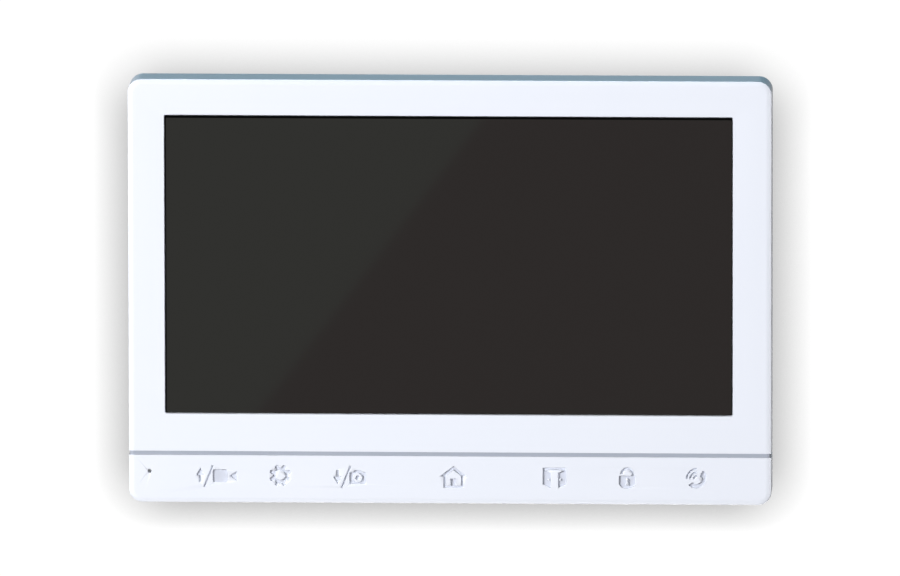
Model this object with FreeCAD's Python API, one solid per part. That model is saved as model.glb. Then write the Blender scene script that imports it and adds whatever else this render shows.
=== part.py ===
"""Wall-mounted 7-inch video intercom monitor, hands-free, with a strip of touch keys.

Frame: +X to the right as seen from the front, +Y from the front face towards the wall, +Z up.
The origin is the centre of the wall bracket's screw pattern, on the wall. Millimetres.
The monitor hangs on the bracket's four hooks and lifts 6.4 mm to come off them.
"""
import FreeCAD
import Part
import math
import os

V = FreeCAD.Vector

# ---- driving dimensions -------------------------------------------------------------------
WIDTH, HEIGHT, DEPTH = 190.0, 126.5, 22.0
CORNER_R = 4.0
FRONT_EDGE_R = 1.2
WALL = 2.2                  # side wall of the front housing
FRONT_T = 2.4               # its front plate
SIDE_DEPTH = 11.5           # how far its side walls run back
REAR_WALL = 2.0             # rear cover
REAR_INSET = 1.2            # the cover steps in from the housing here
REAR_TAPER = 4.5            # and by this much at the wall
WALL_GAP = 0.5              # cover's back face to the wall

FRONT_Y = -DEPTH
PLATE_Y = FRONT_Y + FRONT_T          # back of the front plate
PARTING_Y = FRONT_Y + SIDE_DEPTH     # where housing and cover meet
TAPER_Y = -7.0                       # the cover's sides are straight up to here
BACK_Y = -WALL_GAP
COVER_IN_Y = BACK_Y - REAR_WALL      # inside of the cover's back wall

# display window
WINDOW = (167.8, 89.2)
WINDOW_CENTRE = (-0.35, 8.0)
WINDOW_GAP = 0.2            # between lens and housing, all round
LEDGE = (159.0, 87.4)       # opening in the ledge that carries the lens
LENS_T = 1.4
TAPE_T = 0.15
POCKET_DEPTH = 1.6

# 7-inch display module
LCD = (165.0, 100.0, 5.7)
LCD_ACTIVE = (154.1, 85.9)
LCD_BEZEL_T = 0.3
CUSHION_T = 0.3
LCD_FRONT_Y = PLATE_Y + CUSHION_T
LCD_BACK_Y = LCD_FRONT_Y + LCD[2]

# design line across the front and down both sides
GROOVE_Z = -48.45
GROOVE_W = 1.2
GROOVE_DEPTH = 0.9
TRIM_SUNK = 0.3

# touch keys
ICON_Z = -55.4
ICON_POCKET = 1.0
ICON_T = 0.62
KEY_X = {
    "up_record": -69.15,
    "settings": -50.35,
    "down_photo": -29.75,
    "home_mark": 1.0,
    "gate": 30.9,
    "unlock": 52.4,
    "talk": 72.9,
}
MIC = (-88.9, -53.9)
MIC_HOLE_R = 0.6

TOUCH_X = 84.0              # half length of the touch board
TOUCH_Z = (-60.5, -51.0)
TOUCH_Y = (-16.6, -15.4)
TOUCH_SCREW_X = (-58.5, 18.5, 62.5)
TOUCH_SCREW_Z = -59.0

# main board
BOARD_Y = (-11.2, -9.6)
BOARD_X = (-46.0, 80.0)
BOARD_Z = (-47.5, 42.0)
TONGUE_X = 90.6             # the board's tongue reaches the side wall here
TONGUE_Z = (11.0, 42.0)
BOARD_SCREWS = ((-42.0, 38.0), (60.0, 38.0), (-42.0, -43.5), (86.0, 28.6), (66.0, -24.0))

# sockets on the board's back face
SOCKET_Z = -43.0
LINE_SOCKET_X = (11.0, 26.0, 41.0, 56.0)
POWER_SOCKET_X = 72.0
SOCKET_PINS = 4
PIN_PITCH = 2.5
SOCKET_H = 4.3

# side controls
CARD = (15.0, 0.7, 11.0)
CARD_Z = 18.5
CARD_OUT = 13.0
SWITCH_Z = 36.0
SWITCH_TRAVEL = 2.0

# loudspeaker, facing the wall
SPEAKER = (-72.0, -14.0)
SPEAKER_R = 16.0
SPEAKER_RIM_Y = (-4.3, -3.5)
SPEAKER_PLUG_Z = -22.4       # its connector on the board, below the way of the bracket's hook
CLIP_OFFSET = 19.0
CONE_TRAVEL = 0.4

# case screws
CASE_SCREWS = tuple((sx * 87.3, z) for z in (54.0, 6.0, -44.0) for sx in (-1, 1))

# wall bracket and its hooks
BRACKET = (100.0, 56.0, 1.2)
BRACKET_WINDOW = (46.0, 28.0)
BRACKET_HOLES = (93.0, 47.0)
BRACKET_HOLE_R = 2.2
BOX_SLOTS = (60.0, 9.0)      # spacing and length of the slots for a wall box
HOOK_X = 38.0
HOOK_Z = (19.0, -10.0)
HOOK_W = 8.0
HOOK_RISE = 6.0
HOOK_PLAY = 0.02            # between a hook's leg and the slot that rests on it
LIFT = 6.4
RECESS_X = 53.0
RECESS_Z = (-35.5, 31.0)
RECESS_Y = -4.0
BAY_X = (3.0, 80.0)
BAY_Z = (-50.0, -33.0)
BAY_Y = -5.5


# ---- small building blocks ----------------------------------------------------------------
def box(x, y, z):
    """A block between two X, two Y and two Z values."""
    low = V(min(x), min(y), min(z))
    size = V(max(x), max(y), max(z)) - low
    return Part.makeBox(size.x, size.y, size.z, low)


def rod(x, z, radius, y):
    """A cylinder along Y between two Y values."""
    return Part.makeCylinder(radius, abs(y[1] - y[0]), V(x, min(y), z), V(0, 1, 0))


def ring(x, z, outer, inner, y):
    """A tube along Y."""
    return rod(x, z, outer, y).cut(rod(x, z, inner, (min(y) - 1, max(y) + 1)))


def rounded_outline(centre, size, radius, y):
    """A rounded rectangle in the XZ plane at one Y."""
    cx, cz = centre
    arcs = []
    for k, (sx, sz) in enumerate(((1, 1), (-1, 1), (-1, -1), (1, -1))):
        ax = cx + sx * (size[0] / 2 - radius)
        az = cz + sz * (size[1] / 2 - radius)
        turn = [math.radians(90 * k + a) for a in (0, 45, 90)]
        arcs.append(Part.Arc(*[V(ax + radius * math.cos(t), y, az + radius * math.sin(t)) for t in turn]).toShape())
    edges = []
    for k, arc in enumerate(arcs):
        following = arcs[(k + 1) % len(arcs)]
        edges.append(arc)
        edges.append(Part.makeLine(arc.Vertexes[-1].Point, following.Vertexes[0].Point))
    return Part.Wire(edges)


def plate(centre, size, radius, y):
    """A rounded rectangle in the XZ plane, extruded between two Y values."""
    outline = rounded_outline(centre, size, radius, min(y))
    return Part.Face(outline).extrude(V(0, abs(y[1] - y[0]), 0))


def polygon(points, y):
    """A flat polygon of (x, z) points, extruded between two Y values."""
    corners = [V(px, min(y), pz) for px, pz in points]
    return Part.Face(Part.makePolygon(corners + corners[:1])).extrude(V(0, abs(y[1] - y[0]), 0))


def arc_band(centre, radius, width, angles, y):
    """A curved stroke of constant width with square ends, angles in degrees from +X towards +Z."""
    cx, cz = centre

    def at(r, a):
        return V(cx + r * math.cos(math.radians(a)), min(y), cz + r * math.sin(math.radians(a)))

    start, end = angles
    middle = (start + end) / 2
    inner, outer = radius - width / 2, radius + width / 2
    edges = [
        Part.Arc(at(outer, start), at(outer, middle), at(outer, end)).toShape(),
        Part.makeLine(at(outer, end), at(inner, end)),
        Part.Arc(at(inner, end), at(inner, middle), at(inner, start)).toShape(),
        Part.makeLine(at(inner, start), at(outer, start)),
    ]
    return Part.Face(Part.Wire(edges)).extrude(V(0, abs(y[1] - y[0]), 0))


def bar(a, b, width, y):
    """A straight stroke between two (x, z) points."""
    dx, dz = b[0] - a[0], b[1] - a[1]
    length = math.hypot(dx, dz)
    ox, oz = -dz / length * width / 2, dx / length * width / 2
    return polygon([(a[0] + ox, a[1] + oz), (b[0] + ox, b[1] + oz), (b[0] - ox, b[1] - oz), (a[0] - ox, a[1] - oz)], y)


def fuse(shapes):
    """One shape from several that touch or overlap."""
    shapes = list(shapes)
    return shapes[0].multiFuse(shapes[1:]).removeSplitter() if len(shapes) > 1 else shapes[0]


def group(shapes):
    """Separate solids that share a node."""
    return Part.makeCompound(list(shapes))


def bent_strip(path, thickness, x):
    """A flat strip that follows rounded corners in the YZ plane. path holds (y, z, corner radius)."""
    def offset(side):
        line = []
        for k, (py, pz, _) in enumerate(path):
            before = path[max(k - 1, 0)]
            after = path[min(k + 1, len(path) - 1)]
            first = V(0, py - before[0], pz - before[1])
            second = V(0, after[0] - py, after[1] - pz)
            normals = [V(0, -d.z, d.y).normalize() for d in (first, second) if d.Length > 0]
            mean = normals[0] if len(normals) == 1 else (normals[0] + normals[1]).normalize()
            reach = side * thickness / 2 / (mean.dot(normals[0]))
            line.append(V(min(x), py, pz) + mean * reach)
        return line

    outline = offset(1) + offset(-1)[::-1]
    strip = Part.Face(Part.makePolygon(outline + outline[:1])).extrude(V(abs(x[1] - x[0]), 0, 0))
    for py, pz, radius in path[1:-1]:
        corners = [e for e in strip.Edges if abs(e.BoundBox.XLength - abs(x[1] - x[0])) < 1e-6
                   and math.hypot(e.CenterOfMass.y - py, e.CenterOfMass.z - pz) < thickness]
        near = sorted(corners, key=lambda e: math.hypot(e.CenterOfMass.y - path[0][0], e.CenterOfMass.z - path[0][1]))
        strip = strip.makeFillet(radius, near) if near else strip
    return strip


def wire_tube(points, radius):
    """A round lead along straight runs joined by tangent arcs."""
    corners = [V(*p) for p in points]
    edges, last = [], corners[0]
    for before, corner, after in zip(corners, corners[1:], corners[2:]):
        back, ahead = (before - corner), (after - corner)
        runs = min(back.Length, ahead.Length)
        back.normalize()
        ahead.normalize()
        half = math.pi / 2 - back.getAngle(ahead) / 2
        reach = 0.45 * runs
        bend = reach / math.tan(half)
        start, end = corner + back * reach, corner + ahead * reach
        inward = (back + ahead).normalize()
        middle = corner + inward * (bend / math.cos(half) - bend)
        edges.append(Part.makeLine(last, start))
        edges.append(Part.Arc(start, middle, end).toShape())
        last = end
    edges.append(Part.makeLine(last, corners[-1]))
    path = Part.Wire(edges)
    circle = Part.Wire(Part.makeCircle(radius, corners[0], (corners[1] - corners[0])))
    return path.makePipeShell([circle], True, False)


def pan_screw(x, z, seat_y, head_r, head_t, shank_r, length, towards=-1):
    """A pan-head screw with a cross recess. Its shank runs from seat_y along Y in the sense of towards."""
    head_y = (seat_y, seat_y - towards * head_t)
    head = rod(x, z, head_r, head_y)
    rim = [e for e in head.Edges if abs(e.CenterOfMass.y - head_y[1]) < 1e-6 and e.Curve.TypeId == "Part::GeomCircle"]
    head = head.makeFillet(head_t * 0.45, rim)
    shank = rod(x, z, shank_r, (seat_y, seat_y + towards * length))
    slot_y = (head_y[1] + towards * head_t * 0.55, head_y[1] - towards * 0.1)
    slot, reach = shank_r * 0.34, head_r * 0.58
    cross = box((x - reach, x + reach), slot_y, (z - slot / 2, z + slot / 2)).fuse(
        box((x - slot / 2, x + slot / 2), slot_y, (z - reach, z + reach)))
    return head.fuse(shank).cut(cross)


# ---- icon outlines, each as an extruded shape between two Y values ------------------------
def arrow(x, z, sense, y):
    """A stemmed arrow, 4.2 mm tall; sense 1 points up and -1 down."""
    head = [(x - 1.22, z - sense * 0.1), (x, z + sense * 2.1), (x + 1.22, z - sense * 0.1)]
    stem = box((x - 0.34, x + 0.34), y, (z + sense * 0.2, z - sense * 2.1))
    return fuse([polygon(head if sense < 0 else head[::-1], y), stem])


def icon_up_record(x, z, y):
    """Up arrow, slash, camcorder."""
    body = plate((x + 1.15, z + 0.1), (4.3, 3.75), 0.5, y)
    lens = polygon([(x + 3.95, z + 0.1), (x + 6.0, z + 1.45), (x + 6.0, z - 1.25)], y)
    return [arrow(x - 4.75, z + 0.35, 1, y), bar((x - 3.6, z - 3.2), (x - 1.1, z + 3.2), 0.42, y), body, lens]


def icon_settings(x, z, y):
    """Gear wheel with eight teeth."""
    teeth = []
    for k in range(8):
        a = math.radians(22.5 + 45 * k)
        root, tip = 1.7, 2.98
        along, across = (math.cos(a), math.sin(a)), (-math.sin(a), math.cos(a))
        teeth.append(polygon([(x + along[0] * r + across[0] * w, z + along[1] * r + across[1] * w)
                              for r, w in ((root, -0.62), (tip, -0.36), (tip, 0.36), (root, 0.62))], y))
    wheel = fuse([rod(x, z, 2.05, y)] + teeth)
    return [wheel.cut(rod(x, z, 1.36, (min(y) - 1, max(y) + 1)))]


def icon_down_photo(x, z, y):
    """Down arrow, slash, stills camera."""
    cx, cz = x + 2.45, z - 0.3
    body = fuse([
        plate((cx, cz - 0.05), (4.75, 3.4), 0.25, y),
        polygon([(cx - 1.35, cz + 1.5), (cx - 0.85, cz + 2.3), (cx + 0.85, cz + 2.3), (cx + 1.35, cz + 1.5)], y),
    ])
    eye = (min(y) - 1, max(y) + 1)
    body = body.cut(rod(cx, cz + 0.05, 1.4, eye))
    return [arrow(x - 3.55, z - 0.05, -1, y), bar((x - 2.35, z - 3.25), (x + 0.25, z + 3.25), 0.42, y),
            body, rod(cx, cz + 0.05, 0.62, y)]


def icon_home_mark(x, z, y):
    """A plain house outline with a doorway."""
    outer = [(x - 3.9, z + 0.3), (x, z + 3.3), (x + 3.9, z + 0.3), (x + 2.9, z + 0.3),
             (x + 2.9, z - 3.1), (x - 2.9, z - 3.1), (x - 2.9, z + 0.3)]
    inner = [(x, z + 2.35), (x + 2.3, z + 0.55), (x + 2.3, z - 2.5), (x + 0.75, z - 2.5), (x + 0.75, z - 0.4),
             (x - 0.75, z - 0.4), (x - 0.75, z - 2.5), (x - 2.3, z - 2.5), (x - 2.3, z + 0.55)]
    through = (min(y) - 1, max(y) + 1)
    return [polygon(outer[::-1], y).cut(polygon(inner, through))]


def icon_gate(x, z, y):
    """Two open leaves under a lintel."""
    through = (min(y) - 1, max(y) + 1)
    half, top = 3.43, 3.05
    leaves = []
    for side in (-1, 1):
        leaf = polygon([(x + side * half, z + top), (x + side * half, z - 1.95),
                        (x + side * 1.15, z - 3.0), (x + side * 1.15, z + 1.5), (x + side * 2.9, z + 2.2)], y)
        leaves.append(leaf.cut(rod(x + side * 1.7, z - 0.55, 0.36, through)))
    lintel = polygon([(x - half, z + top), (x + half, z + top), (x + 2.9, z + 2.2), (x + 1.2, z + 2.5),
                      (x - 1.2, z + 2.5), (x - 2.9, z + 2.2)], y)
    return [fuse(leaves + [lintel])]


def icon_unlock(x, z, y):
    """Padlock with its shackle open."""
    through = (min(y) - 1, max(y) + 1)
    top, low, half = z + 0.7, z - 3.1, 2.36
    body = Part.Wire([
        Part.makeLine(V(x - half, min(y), top), V(x - half, min(y), z - 1.75)),
        Part.Arc(V(x - half, min(y), z - 1.75), V(x, min(y), low), V(x + half, min(y), z - 1.75)).toShape(),
        Part.makeLine(V(x + half, min(y), z - 1.75), V(x + half, min(y), top)),
        Part.makeLine(V(x + half, min(y), top), V(x - half, min(y), top)),
    ])
    body = Part.Face(body).extrude(V(0, abs(y[1] - y[0]), 0))
    keyhole = fuse([rod(x, z - 0.45, 0.46, through),
                    polygon([(x - 0.2, z - 0.5), (x + 0.2, z - 0.5), (x + 0.5, z - 2.1), (x - 0.5, z - 2.1)], through)])
    shackle = arc_band((x, z + 1.25), 1.68, 0.6, (0, 178), y)
    leg = box((x + 1.38, x + 1.98), y, (z + 0.6, z + 1.25))
    return [fuse([body.cut(keyhole), leg, shackle])]


def icon_talk(x, z, y):
    """Handset with three sound arcs."""
    centre = (x + 0.1, z - 0.05)
    waves = [arc_band(centre, r, 0.42, (92, 178), y) for r in (0.85, 1.95, 3.0)]
    grip = arc_band((x - 0.55, z + 0.65), 2.95, 0.75, (-78, -10), y)
    ends = []
    for a in (-82.0, -6.0):
        t = math.radians(a)
        mx, mz = x - 0.55 + 2.72 * math.cos(t), z + 0.65 + 2.72 * math.sin(t)
        along, out = (-math.sin(t), math.cos(t)), (math.cos(t), math.sin(t))
        ends.append(polygon([(mx + along[0] * s + out[0] * r, mz + along[1] * s + out[1] * r)
                             for s, r in ((-0.95, -0.75), (0.95, -0.75), (0.78, 0.62), (-0.78, 0.62))], y))
    return waves + [fuse([grip] + ends)]


ICONS = {
    "up_record": icon_up_record,
    "settings": icon_settings,
    "down_photo": icon_down_photo,
    "home_mark": icon_home_mark,
    "gate": icon_gate,
    "unlock": icon_unlock,
    "talk": icon_talk,
}


# ---- front of the monitor -----------------------------------------------------------------
def groove_path(sunk, y_back):
    """The design line as a U: across the front and back along both sides, its floor sunk below the skin."""
    z = (GROOVE_Z - GROOVE_W / 2, GROOVE_Z + GROOVE_W / 2)
    outer = housing_skin(sunk)
    strip = box((-WIDTH, WIDTH), (FRONT_Y - 1, y_back), z)
    return outer.common(strip)


def housing_skin(inset=0.0):
    """The housing's outer form, shrunk by inset on the front and sides."""
    size = (WIDTH - 2 * inset, HEIGHT - 2 * inset)
    skin = plate((0, 0), size, CORNER_R - inset, (FRONT_Y + inset, PARTING_Y))
    front = [e for e in skin.Edges if abs(e.BoundBox.YMin - FRONT_Y - inset) < 1e-6 and e.BoundBox.YLength < 1e-6]
    return skin.makeFillet(max(FRONT_EDGE_R - inset, 0.3), front)


def front_housing():
    """White front shell: face, side walls, ledge for the lens, icon pockets, posts and ribs."""
    shell = housing_skin()
    inside = (WIDTH - 2 * WALL, HEIGHT - 2 * WALL)
    shell = shell.cut(plate((0, 0), inside, CORNER_R - WALL, (PLATE_Y, PARTING_Y + 1)))
    shell = shell.cut(plate(WINDOW_CENTRE, WINDOW, 0.8, (FRONT_Y - 1, FRONT_Y + POCKET_DEPTH)))
    shell = shell.cut(plate(WINDOW_CENTRE, LEDGE, 0.6, (FRONT_Y - 1, PLATE_Y + 1)))
    line = housing_skin().cut(housing_skin(GROOVE_DEPTH))
    z = (GROOVE_Z - GROOVE_W / 2, GROOVE_Z + GROOVE_W / 2)
    shell = shell.cut(line.common(box((-WIDTH, WIDTH), (FRONT_Y - 1, PARTING_Y + 1), z)))
    pockets = []
    for name, draw in ICONS.items():
        pockets += draw(KEY_X[name], ICON_Z, (FRONT_Y - 1, FRONT_Y + ICON_POCKET))
    shell = shell.cut(group(pockets))
    shell = shell.cut(rod(MIC[0], MIC[1], MIC_HOLE_R, (FRONT_Y - 1, PLATE_Y + 1)))

    posts = [rod(x, z, 2.8, (PLATE_Y - 0.5, PARTING_Y)) for x, z in CASE_SCREWS]
    posts += [rod(x, z, 2.4, (PLATE_Y - 0.5, LCD_BACK_Y)) for x, z in lcd_screw_places()]
    posts += [rod(x, TOUCH_SCREW_Z, 1.7, (PLATE_Y - 0.5, TOUCH_Y[0])) for x in TOUCH_SCREW_X]
    ribs = []
    cx, cz = WINDOW_CENTRE
    half_x, half_z = LCD[0] / 2 + 0.3, LCD[1] / 2 + 0.3
    rib_y, t = (PLATE_Y - 0.5, LCD_FRONT_Y + 4.0), 1.0
    for sx in (-1, 1):
        ribs.append(box((cx + sx * half_x, cx + sx * (half_x + t)), rib_y, (cz - 30, cz + 30)))
        ribs.append(box((cx + sx * 26, cx + sx * (half_x - 8)), rib_y, (cz - half_z - t, cz - half_z)))
        ribs.append(box((cx + sx * 20, cx + sx * (half_x - 8)), rib_y, (cz + half_z, cz + half_z + t)))
    ribs.append(ring(MIC[0], MIC[1], 3.75, 3.05, (PLATE_Y - 0.5, PLATE_Y + 2.2)))
    shell = shell.fuse(posts + ribs)
    holes = [rod(x, z, 1.3, (PLATE_Y + 1.0, PARTING_Y + 1)) for x, z in CASE_SCREWS]
    holes += [rod(x, z, 1.0, (PLATE_Y + 1.0, LCD_BACK_Y + 1)) for x, z in lcd_screw_places()]
    holes += [rod(x, TOUCH_SCREW_Z, 0.8, (PLATE_Y + 0.4, TOUCH_Y[0] + 1)) for x in TOUCH_SCREW_X]
    return shell.cut(group(holes)).removeSplitter()


def trim_strip():
    """Grey strip pressed into the design line; it turns down both sides."""
    sunk = housing_skin(TRIM_SUNK).cut(housing_skin(GROOVE_DEPTH - 0.02))
    z = (GROOVE_Z - GROOVE_W / 2 + 0.02, GROOVE_Z + GROOVE_W / 2 - 0.02)
    return sunk.common(box((-WIDTH, WIDTH), (FRONT_Y - 1, PARTING_Y - 0.3), z))


def window_lens():
    """Clear acrylic lens that sits flush in the window."""
    size = (WINDOW[0] - 2 * WINDOW_GAP, WINDOW[1] - 2 * WINDOW_GAP)
    lens = plate(WINDOW_CENTRE, size, 0.6, (FRONT_Y + 0.05, FRONT_Y + 0.05 + LENS_T))
    rim = [e for e in lens.Edges if abs(e.BoundBox.YMax - FRONT_Y - 0.05) < 1e-6]
    return lens.makeChamfer(0.12, rim)


def lens_tape():
    """Adhesive frame under the lens, on the ledge."""
    y = (FRONT_Y + 0.05 + LENS_T, FRONT_Y + POCKET_DEPTH)
    size = (WINDOW[0] - 2 * WINDOW_GAP - 0.2, WINDOW[1] - 2 * WINDOW_GAP - 0.2)
    return plate(WINDOW_CENTRE, size, 0.5, y).cut(plate(WINDOW_CENTRE, LEDGE, 0.6, (y[0] - 1, y[1] + 1)))


# ---- display module -----------------------------------------------------------------------
def lcd_plate(margin, y):
    """A rectangle of the display module's outline less a margin all round."""
    return plate(WINDOW_CENTRE, (LCD[0] - 2 * margin, LCD[1] - 2 * margin), 0.5, y)


def lcd_cushion():
    """Foam frame between the ledge and the display's bezel."""
    y = (PLATE_Y, LCD_FRONT_Y)
    return lcd_plate(0.8, y).cut(plate(WINDOW_CENTRE, (161.0, 91.0), 0.5, (y[0] - 1, y[1] + 1)))


def lcd_bezel():
    """Pressed steel frame round the display glass, with a gap for the flex."""
    y = (LCD_FRONT_Y, LCD_BACK_Y - 0.8)
    pan = lcd_plate(0, y).cut(lcd_plate(LCD_BEZEL_T, (y[0] + LCD_BEZEL_T, y[1] + 1)))
    pan = pan.cut(plate(WINDOW_CENTRE, (LCD_ACTIVE[0] + 2.4, LCD_ACTIVE[1] + 2.4), 0.5, (y[0] - 1, y[1] + 1)))
    low = WINDOW_CENTRE[1] - LCD[1] / 2
    return pan.cut(box((-19, 19), (y[0] + 1.0, y[1] + 1), (low - 1, low + 1)))


def lcd_glass():
    """Liquid crystal cell with its polarisers."""
    y = (LCD_FRONT_Y + LCD_BEZEL_T, LCD_FRONT_Y + LCD_BEZEL_T + 1.8)
    return plate(WINDOW_CENTRE, (LCD[0] - 3.0, LCD[1] - 6.0), 0.3, y)


def lcd_backlight_frame():
    """White frame that holds the light guide behind the glass."""
    y = (LCD_FRONT_Y + LCD_BEZEL_T + 1.8, LCD_BACK_Y - 0.3)
    frame = lcd_plate(0.45, y).cut(lcd_plate(2.6, (y[0] - 1, y[1] + 1)))
    low = WINDOW_CENTRE[1] - LCD[1] / 2
    return frame.cut(box((-19, 19), (y[0] - 1, y[1] - 1.4), (low - 1, low + 1.6)))


def lcd_light_guide():
    """Clear light guide with its diffuser films."""
    return lcd_plate(2.75, (LCD_FRONT_Y + LCD_BEZEL_T + 1.8, LCD_BACK_Y - 0.3))


def lcd_reflector():
    """Metal back plate of the display."""
    return lcd_plate(0.45, (LCD_BACK_Y - 0.3, LCD_BACK_Y))


def lcd_screw_places():
    """Posts for the display's retaining bars, (x, z)."""
    return [(sx * 86.9, z) for sx in (-1, 1) for z in (46.5, -32.0)]


def lcd_brackets():
    """Four flat steel bars that hold the display against its cushion."""
    bars = []
    for x, z in lcd_screw_places():
        inner = x - math.copysign(11.0, x)
        outer = x + math.copysign(2.6, x)
        y = (LCD_BACK_Y, LCD_BACK_Y + 0.7)
        blank = plate(((inner + outer) / 2, z), (abs(outer - inner), 5.4), 1.2, y)
        bars.append(blank.cut(rod(x, z, 1.1, (y[0] - 1, y[1] + 1))))
    return group(bars)


def lcd_bracket_screws():
    """Screws through the display's retaining bars."""
    return group(pan_screw(x, z, LCD_BACK_Y + 0.7, 1.9, 1.1, 0.98, 5.0) for x, z in lcd_screw_places())


def lcd_flex():
    """Flexible circuit from the display to its connector on the board."""
    low = WINDOW_CENTRE[1] - LCD[1] / 2
    path = [(-17.6, low + 2.0, 0), (-17.6, low - 1.9, 0.6), (-12.25, low - 1.9, 0.6), (-12.25, low - 3.6, 0)]
    return bent_strip(path, 0.2, (-17, 17))


# ---- touch keys ---------------------------------------------------------------------------
def icon_inlay(name):
    """Translucent grey inlay at the bottom of one icon pocket."""
    y = (FRONT_Y + ICON_POCKET - ICON_T, FRONT_Y + ICON_POCKET)
    return group(ICONS[name](KEY_X[name], ICON_Z, y))


def chamber_sizes():
    """Width of the light chamber behind each icon."""
    return {name: 13.6 if name in ("up_record", "down_photo") else 9.6 for name in KEY_X}


def key_light_baffle():
    """White block with one light chamber for each icon, so that keys don't light each other."""
    y = (PLATE_Y, TOUCH_Y[0])
    block = plate((0, ICON_Z - 0.2), (160.0, 9.6), 1.0, y)
    through = (y[0] - 1, y[1] + 1)
    for name, width in chamber_sizes().items():
        block = block.cut(plate((KEY_X[name], ICON_Z + 0.4), (width, 7.4), 0.8, through))
    for x in TOUCH_SCREW_X:
        block = block.cut(rod(x, TOUCH_SCREW_Z, 2.0, through))
    return block


def touch_board():
    """Narrow circuit board behind the key strip."""
    size = (2 * TOUCH_X, TOUCH_Z[1] - TOUCH_Z[0])
    board = plate((0, sum(TOUCH_Z) / 2), size, 1.0, TOUCH_Y)
    return board.cut(group(rod(x, TOUCH_SCREW_Z, 0.9, (TOUCH_Y[0] - 1, TOUCH_Y[1] + 1)) for x in TOUCH_SCREW_X))


def touch_pads():
    """Conductive foam pads that carry each key's sensing field to the front plate."""
    names = [n for n in KEY_X if n != "home_mark"]
    return group(plate((KEY_X[n], ICON_Z - 1.6), (7.4, 2.6), 0.3, (PLATE_Y, TOUCH_Y[0])) for n in names)


def key_leds():
    """Side by side with each pad, the small lamp that lights the icon."""
    return group(box((x - 1.6, x + 1.6), (TOUCH_Y[0] - 0.8, TOUCH_Y[0]), (ICON_Z + 0.7, ICON_Z + 2.3))
                 for x in KEY_X.values())


def touch_components():
    """Touch controller, its passives and the ribbon connector, on the board's back face."""
    y = (TOUCH_Y[1], TOUCH_Y[1] + 1.0)
    parts = [box((4, 11), y, (-58.5, -54.0)), box((24, 40), (TOUCH_Y[1], TOUCH_Y[1] + 1.5), (-57.5, -53.5))]
    parts += [box((x, x + 1.6), (TOUCH_Y[1], TOUCH_Y[1] + 0.6), (-55.6, -54.8)) for x in (-64, -44, -24, -4, 46, 64)]
    return group(parts)


def touch_board_screws():
    """Three screws that hold the touch board on its posts."""
    return group(pan_screw(x, TOUCH_SCREW_Z, TOUCH_Y[1], 1.45, 0.9, 0.78, 3.6) for x in TOUCH_SCREW_X)


def touch_ribbon():
    """Flat cable from the touch board to the main board."""
    path = [(-14.65, -53.3, 0), (-14.65, -50.9, 0.8), (-12.1, -49.0, 0.8), (-12.1, -47.6, 0)]
    return bent_strip(path, 0.3, (26.5, 37.5))


def microphone():
    """Electret microphone capsule behind its hole."""
    can = rod(MIC[0], MIC[1], 2.0, (PLATE_Y + 0.5, PLATE_Y + 2.0))
    legs = [box((MIC[0] + s - 0.25, MIC[0] + s + 0.25), (PLATE_Y + 2.0, PLATE_Y + 3.0),
                (MIC[1] - 0.25, MIC[1] + 0.25)) for s in (-0.9, 0.9)]
    return fuse([can] + legs)


def microphone_boot():
    """Soft boot that seals the capsule to the front plate."""
    boot = rod(MIC[0], MIC[1], 3.0, (PLATE_Y, PLATE_Y + 2.4))
    boot = boot.cut(rod(MIC[0], MIC[1], 2.0, (PLATE_Y + 0.5, PLATE_Y + 2.0)))
    boot = boot.cut(rod(MIC[0], MIC[1], MIC_HOLE_R, (PLATE_Y - 1, PLATE_Y + 1)))
    slot = box((MIC[0] - 1.4, MIC[0] + 1.4), (PLATE_Y + 1.9, PLATE_Y + 3), (MIC[1] - 0.5, MIC[1] + 0.5))
    return boot.cut(slot)


def microphone_leads():
    """Two thin leads from the capsule to the touch board's end."""
    leads = []
    for s in (-1, 1):
        x, z = MIC[0] + 0.9 * s, MIC[1]
        leads.append(wire_tube([(x, PLATE_Y + 3.0, z), (x, PLATE_Y + 5.6, z), (x + 3.4, PLATE_Y + 6.2, z - 1.2),
                                (-82.6 + s, PLATE_Y + 6.0, z - 1.8), (-82.6 + s, TOUCH_Y[1], z - 1.8)], 0.35))
    return group(leads)


# ---- main board ---------------------------------------------------------------------------
def main_board():
    """Main circuit board, screwed to the rear cover, with a tongue to the side wall."""
    board = box(BOARD_X, BOARD_Y, BOARD_Z).fuse(box((BOARD_X[1] - 1, TONGUE_X), BOARD_Y, TONGUE_Z)).removeSplitter()
    return board.cut(group(rod(x, z, 1.25, (BOARD_Y[0] - 1, BOARD_Y[1] + 1)) for x, z in BOARD_SCREWS))


def on_back(x, z, size, height):
    """A block of this size and height on the main board's back face."""
    return box((x - size[0] / 2, x + size[0] / 2), (BOARD_Y[1], BOARD_Y[1] + height), (z - size[1] / 2, z + size[1] / 2))


def main_chips():
    """Processor, memory, video decoder and audio amplifier."""
    return group([on_back(2, 8, (14, 14), 1.2), on_back(-20, 9, (12, 8), 1.0),
                  on_back(18, -14, (9, 9), 1.0), on_back(-34, -12, (5, 4), 1.4)])


def board_inductors():
    """Shielded inductors of the power supply."""
    return group(plate((x, z), (6.0, 6.0), 1.2, (BOARD_Y[1], BOARD_Y[1] + 2.8))
                 for x, z in ((64, 4), (64, -8), (-28, -27)))


def board_capacitors():
    """Round can capacitors on square bases, above the bracket's recess."""
    cans = []
    for x, z in ((30, 37.6), (40, 37.6), (50, 37.6), (72, 36), (72, -6), (72, 6)):
        base = on_back(x, z, (6.6, 6.6), 0.8)
        cans.append(base.fuse(rod(x, z, 3.1, (BOARD_Y[1] + 0.8, BOARD_Y[1] + 5.4))))
    return group(cans)


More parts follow.
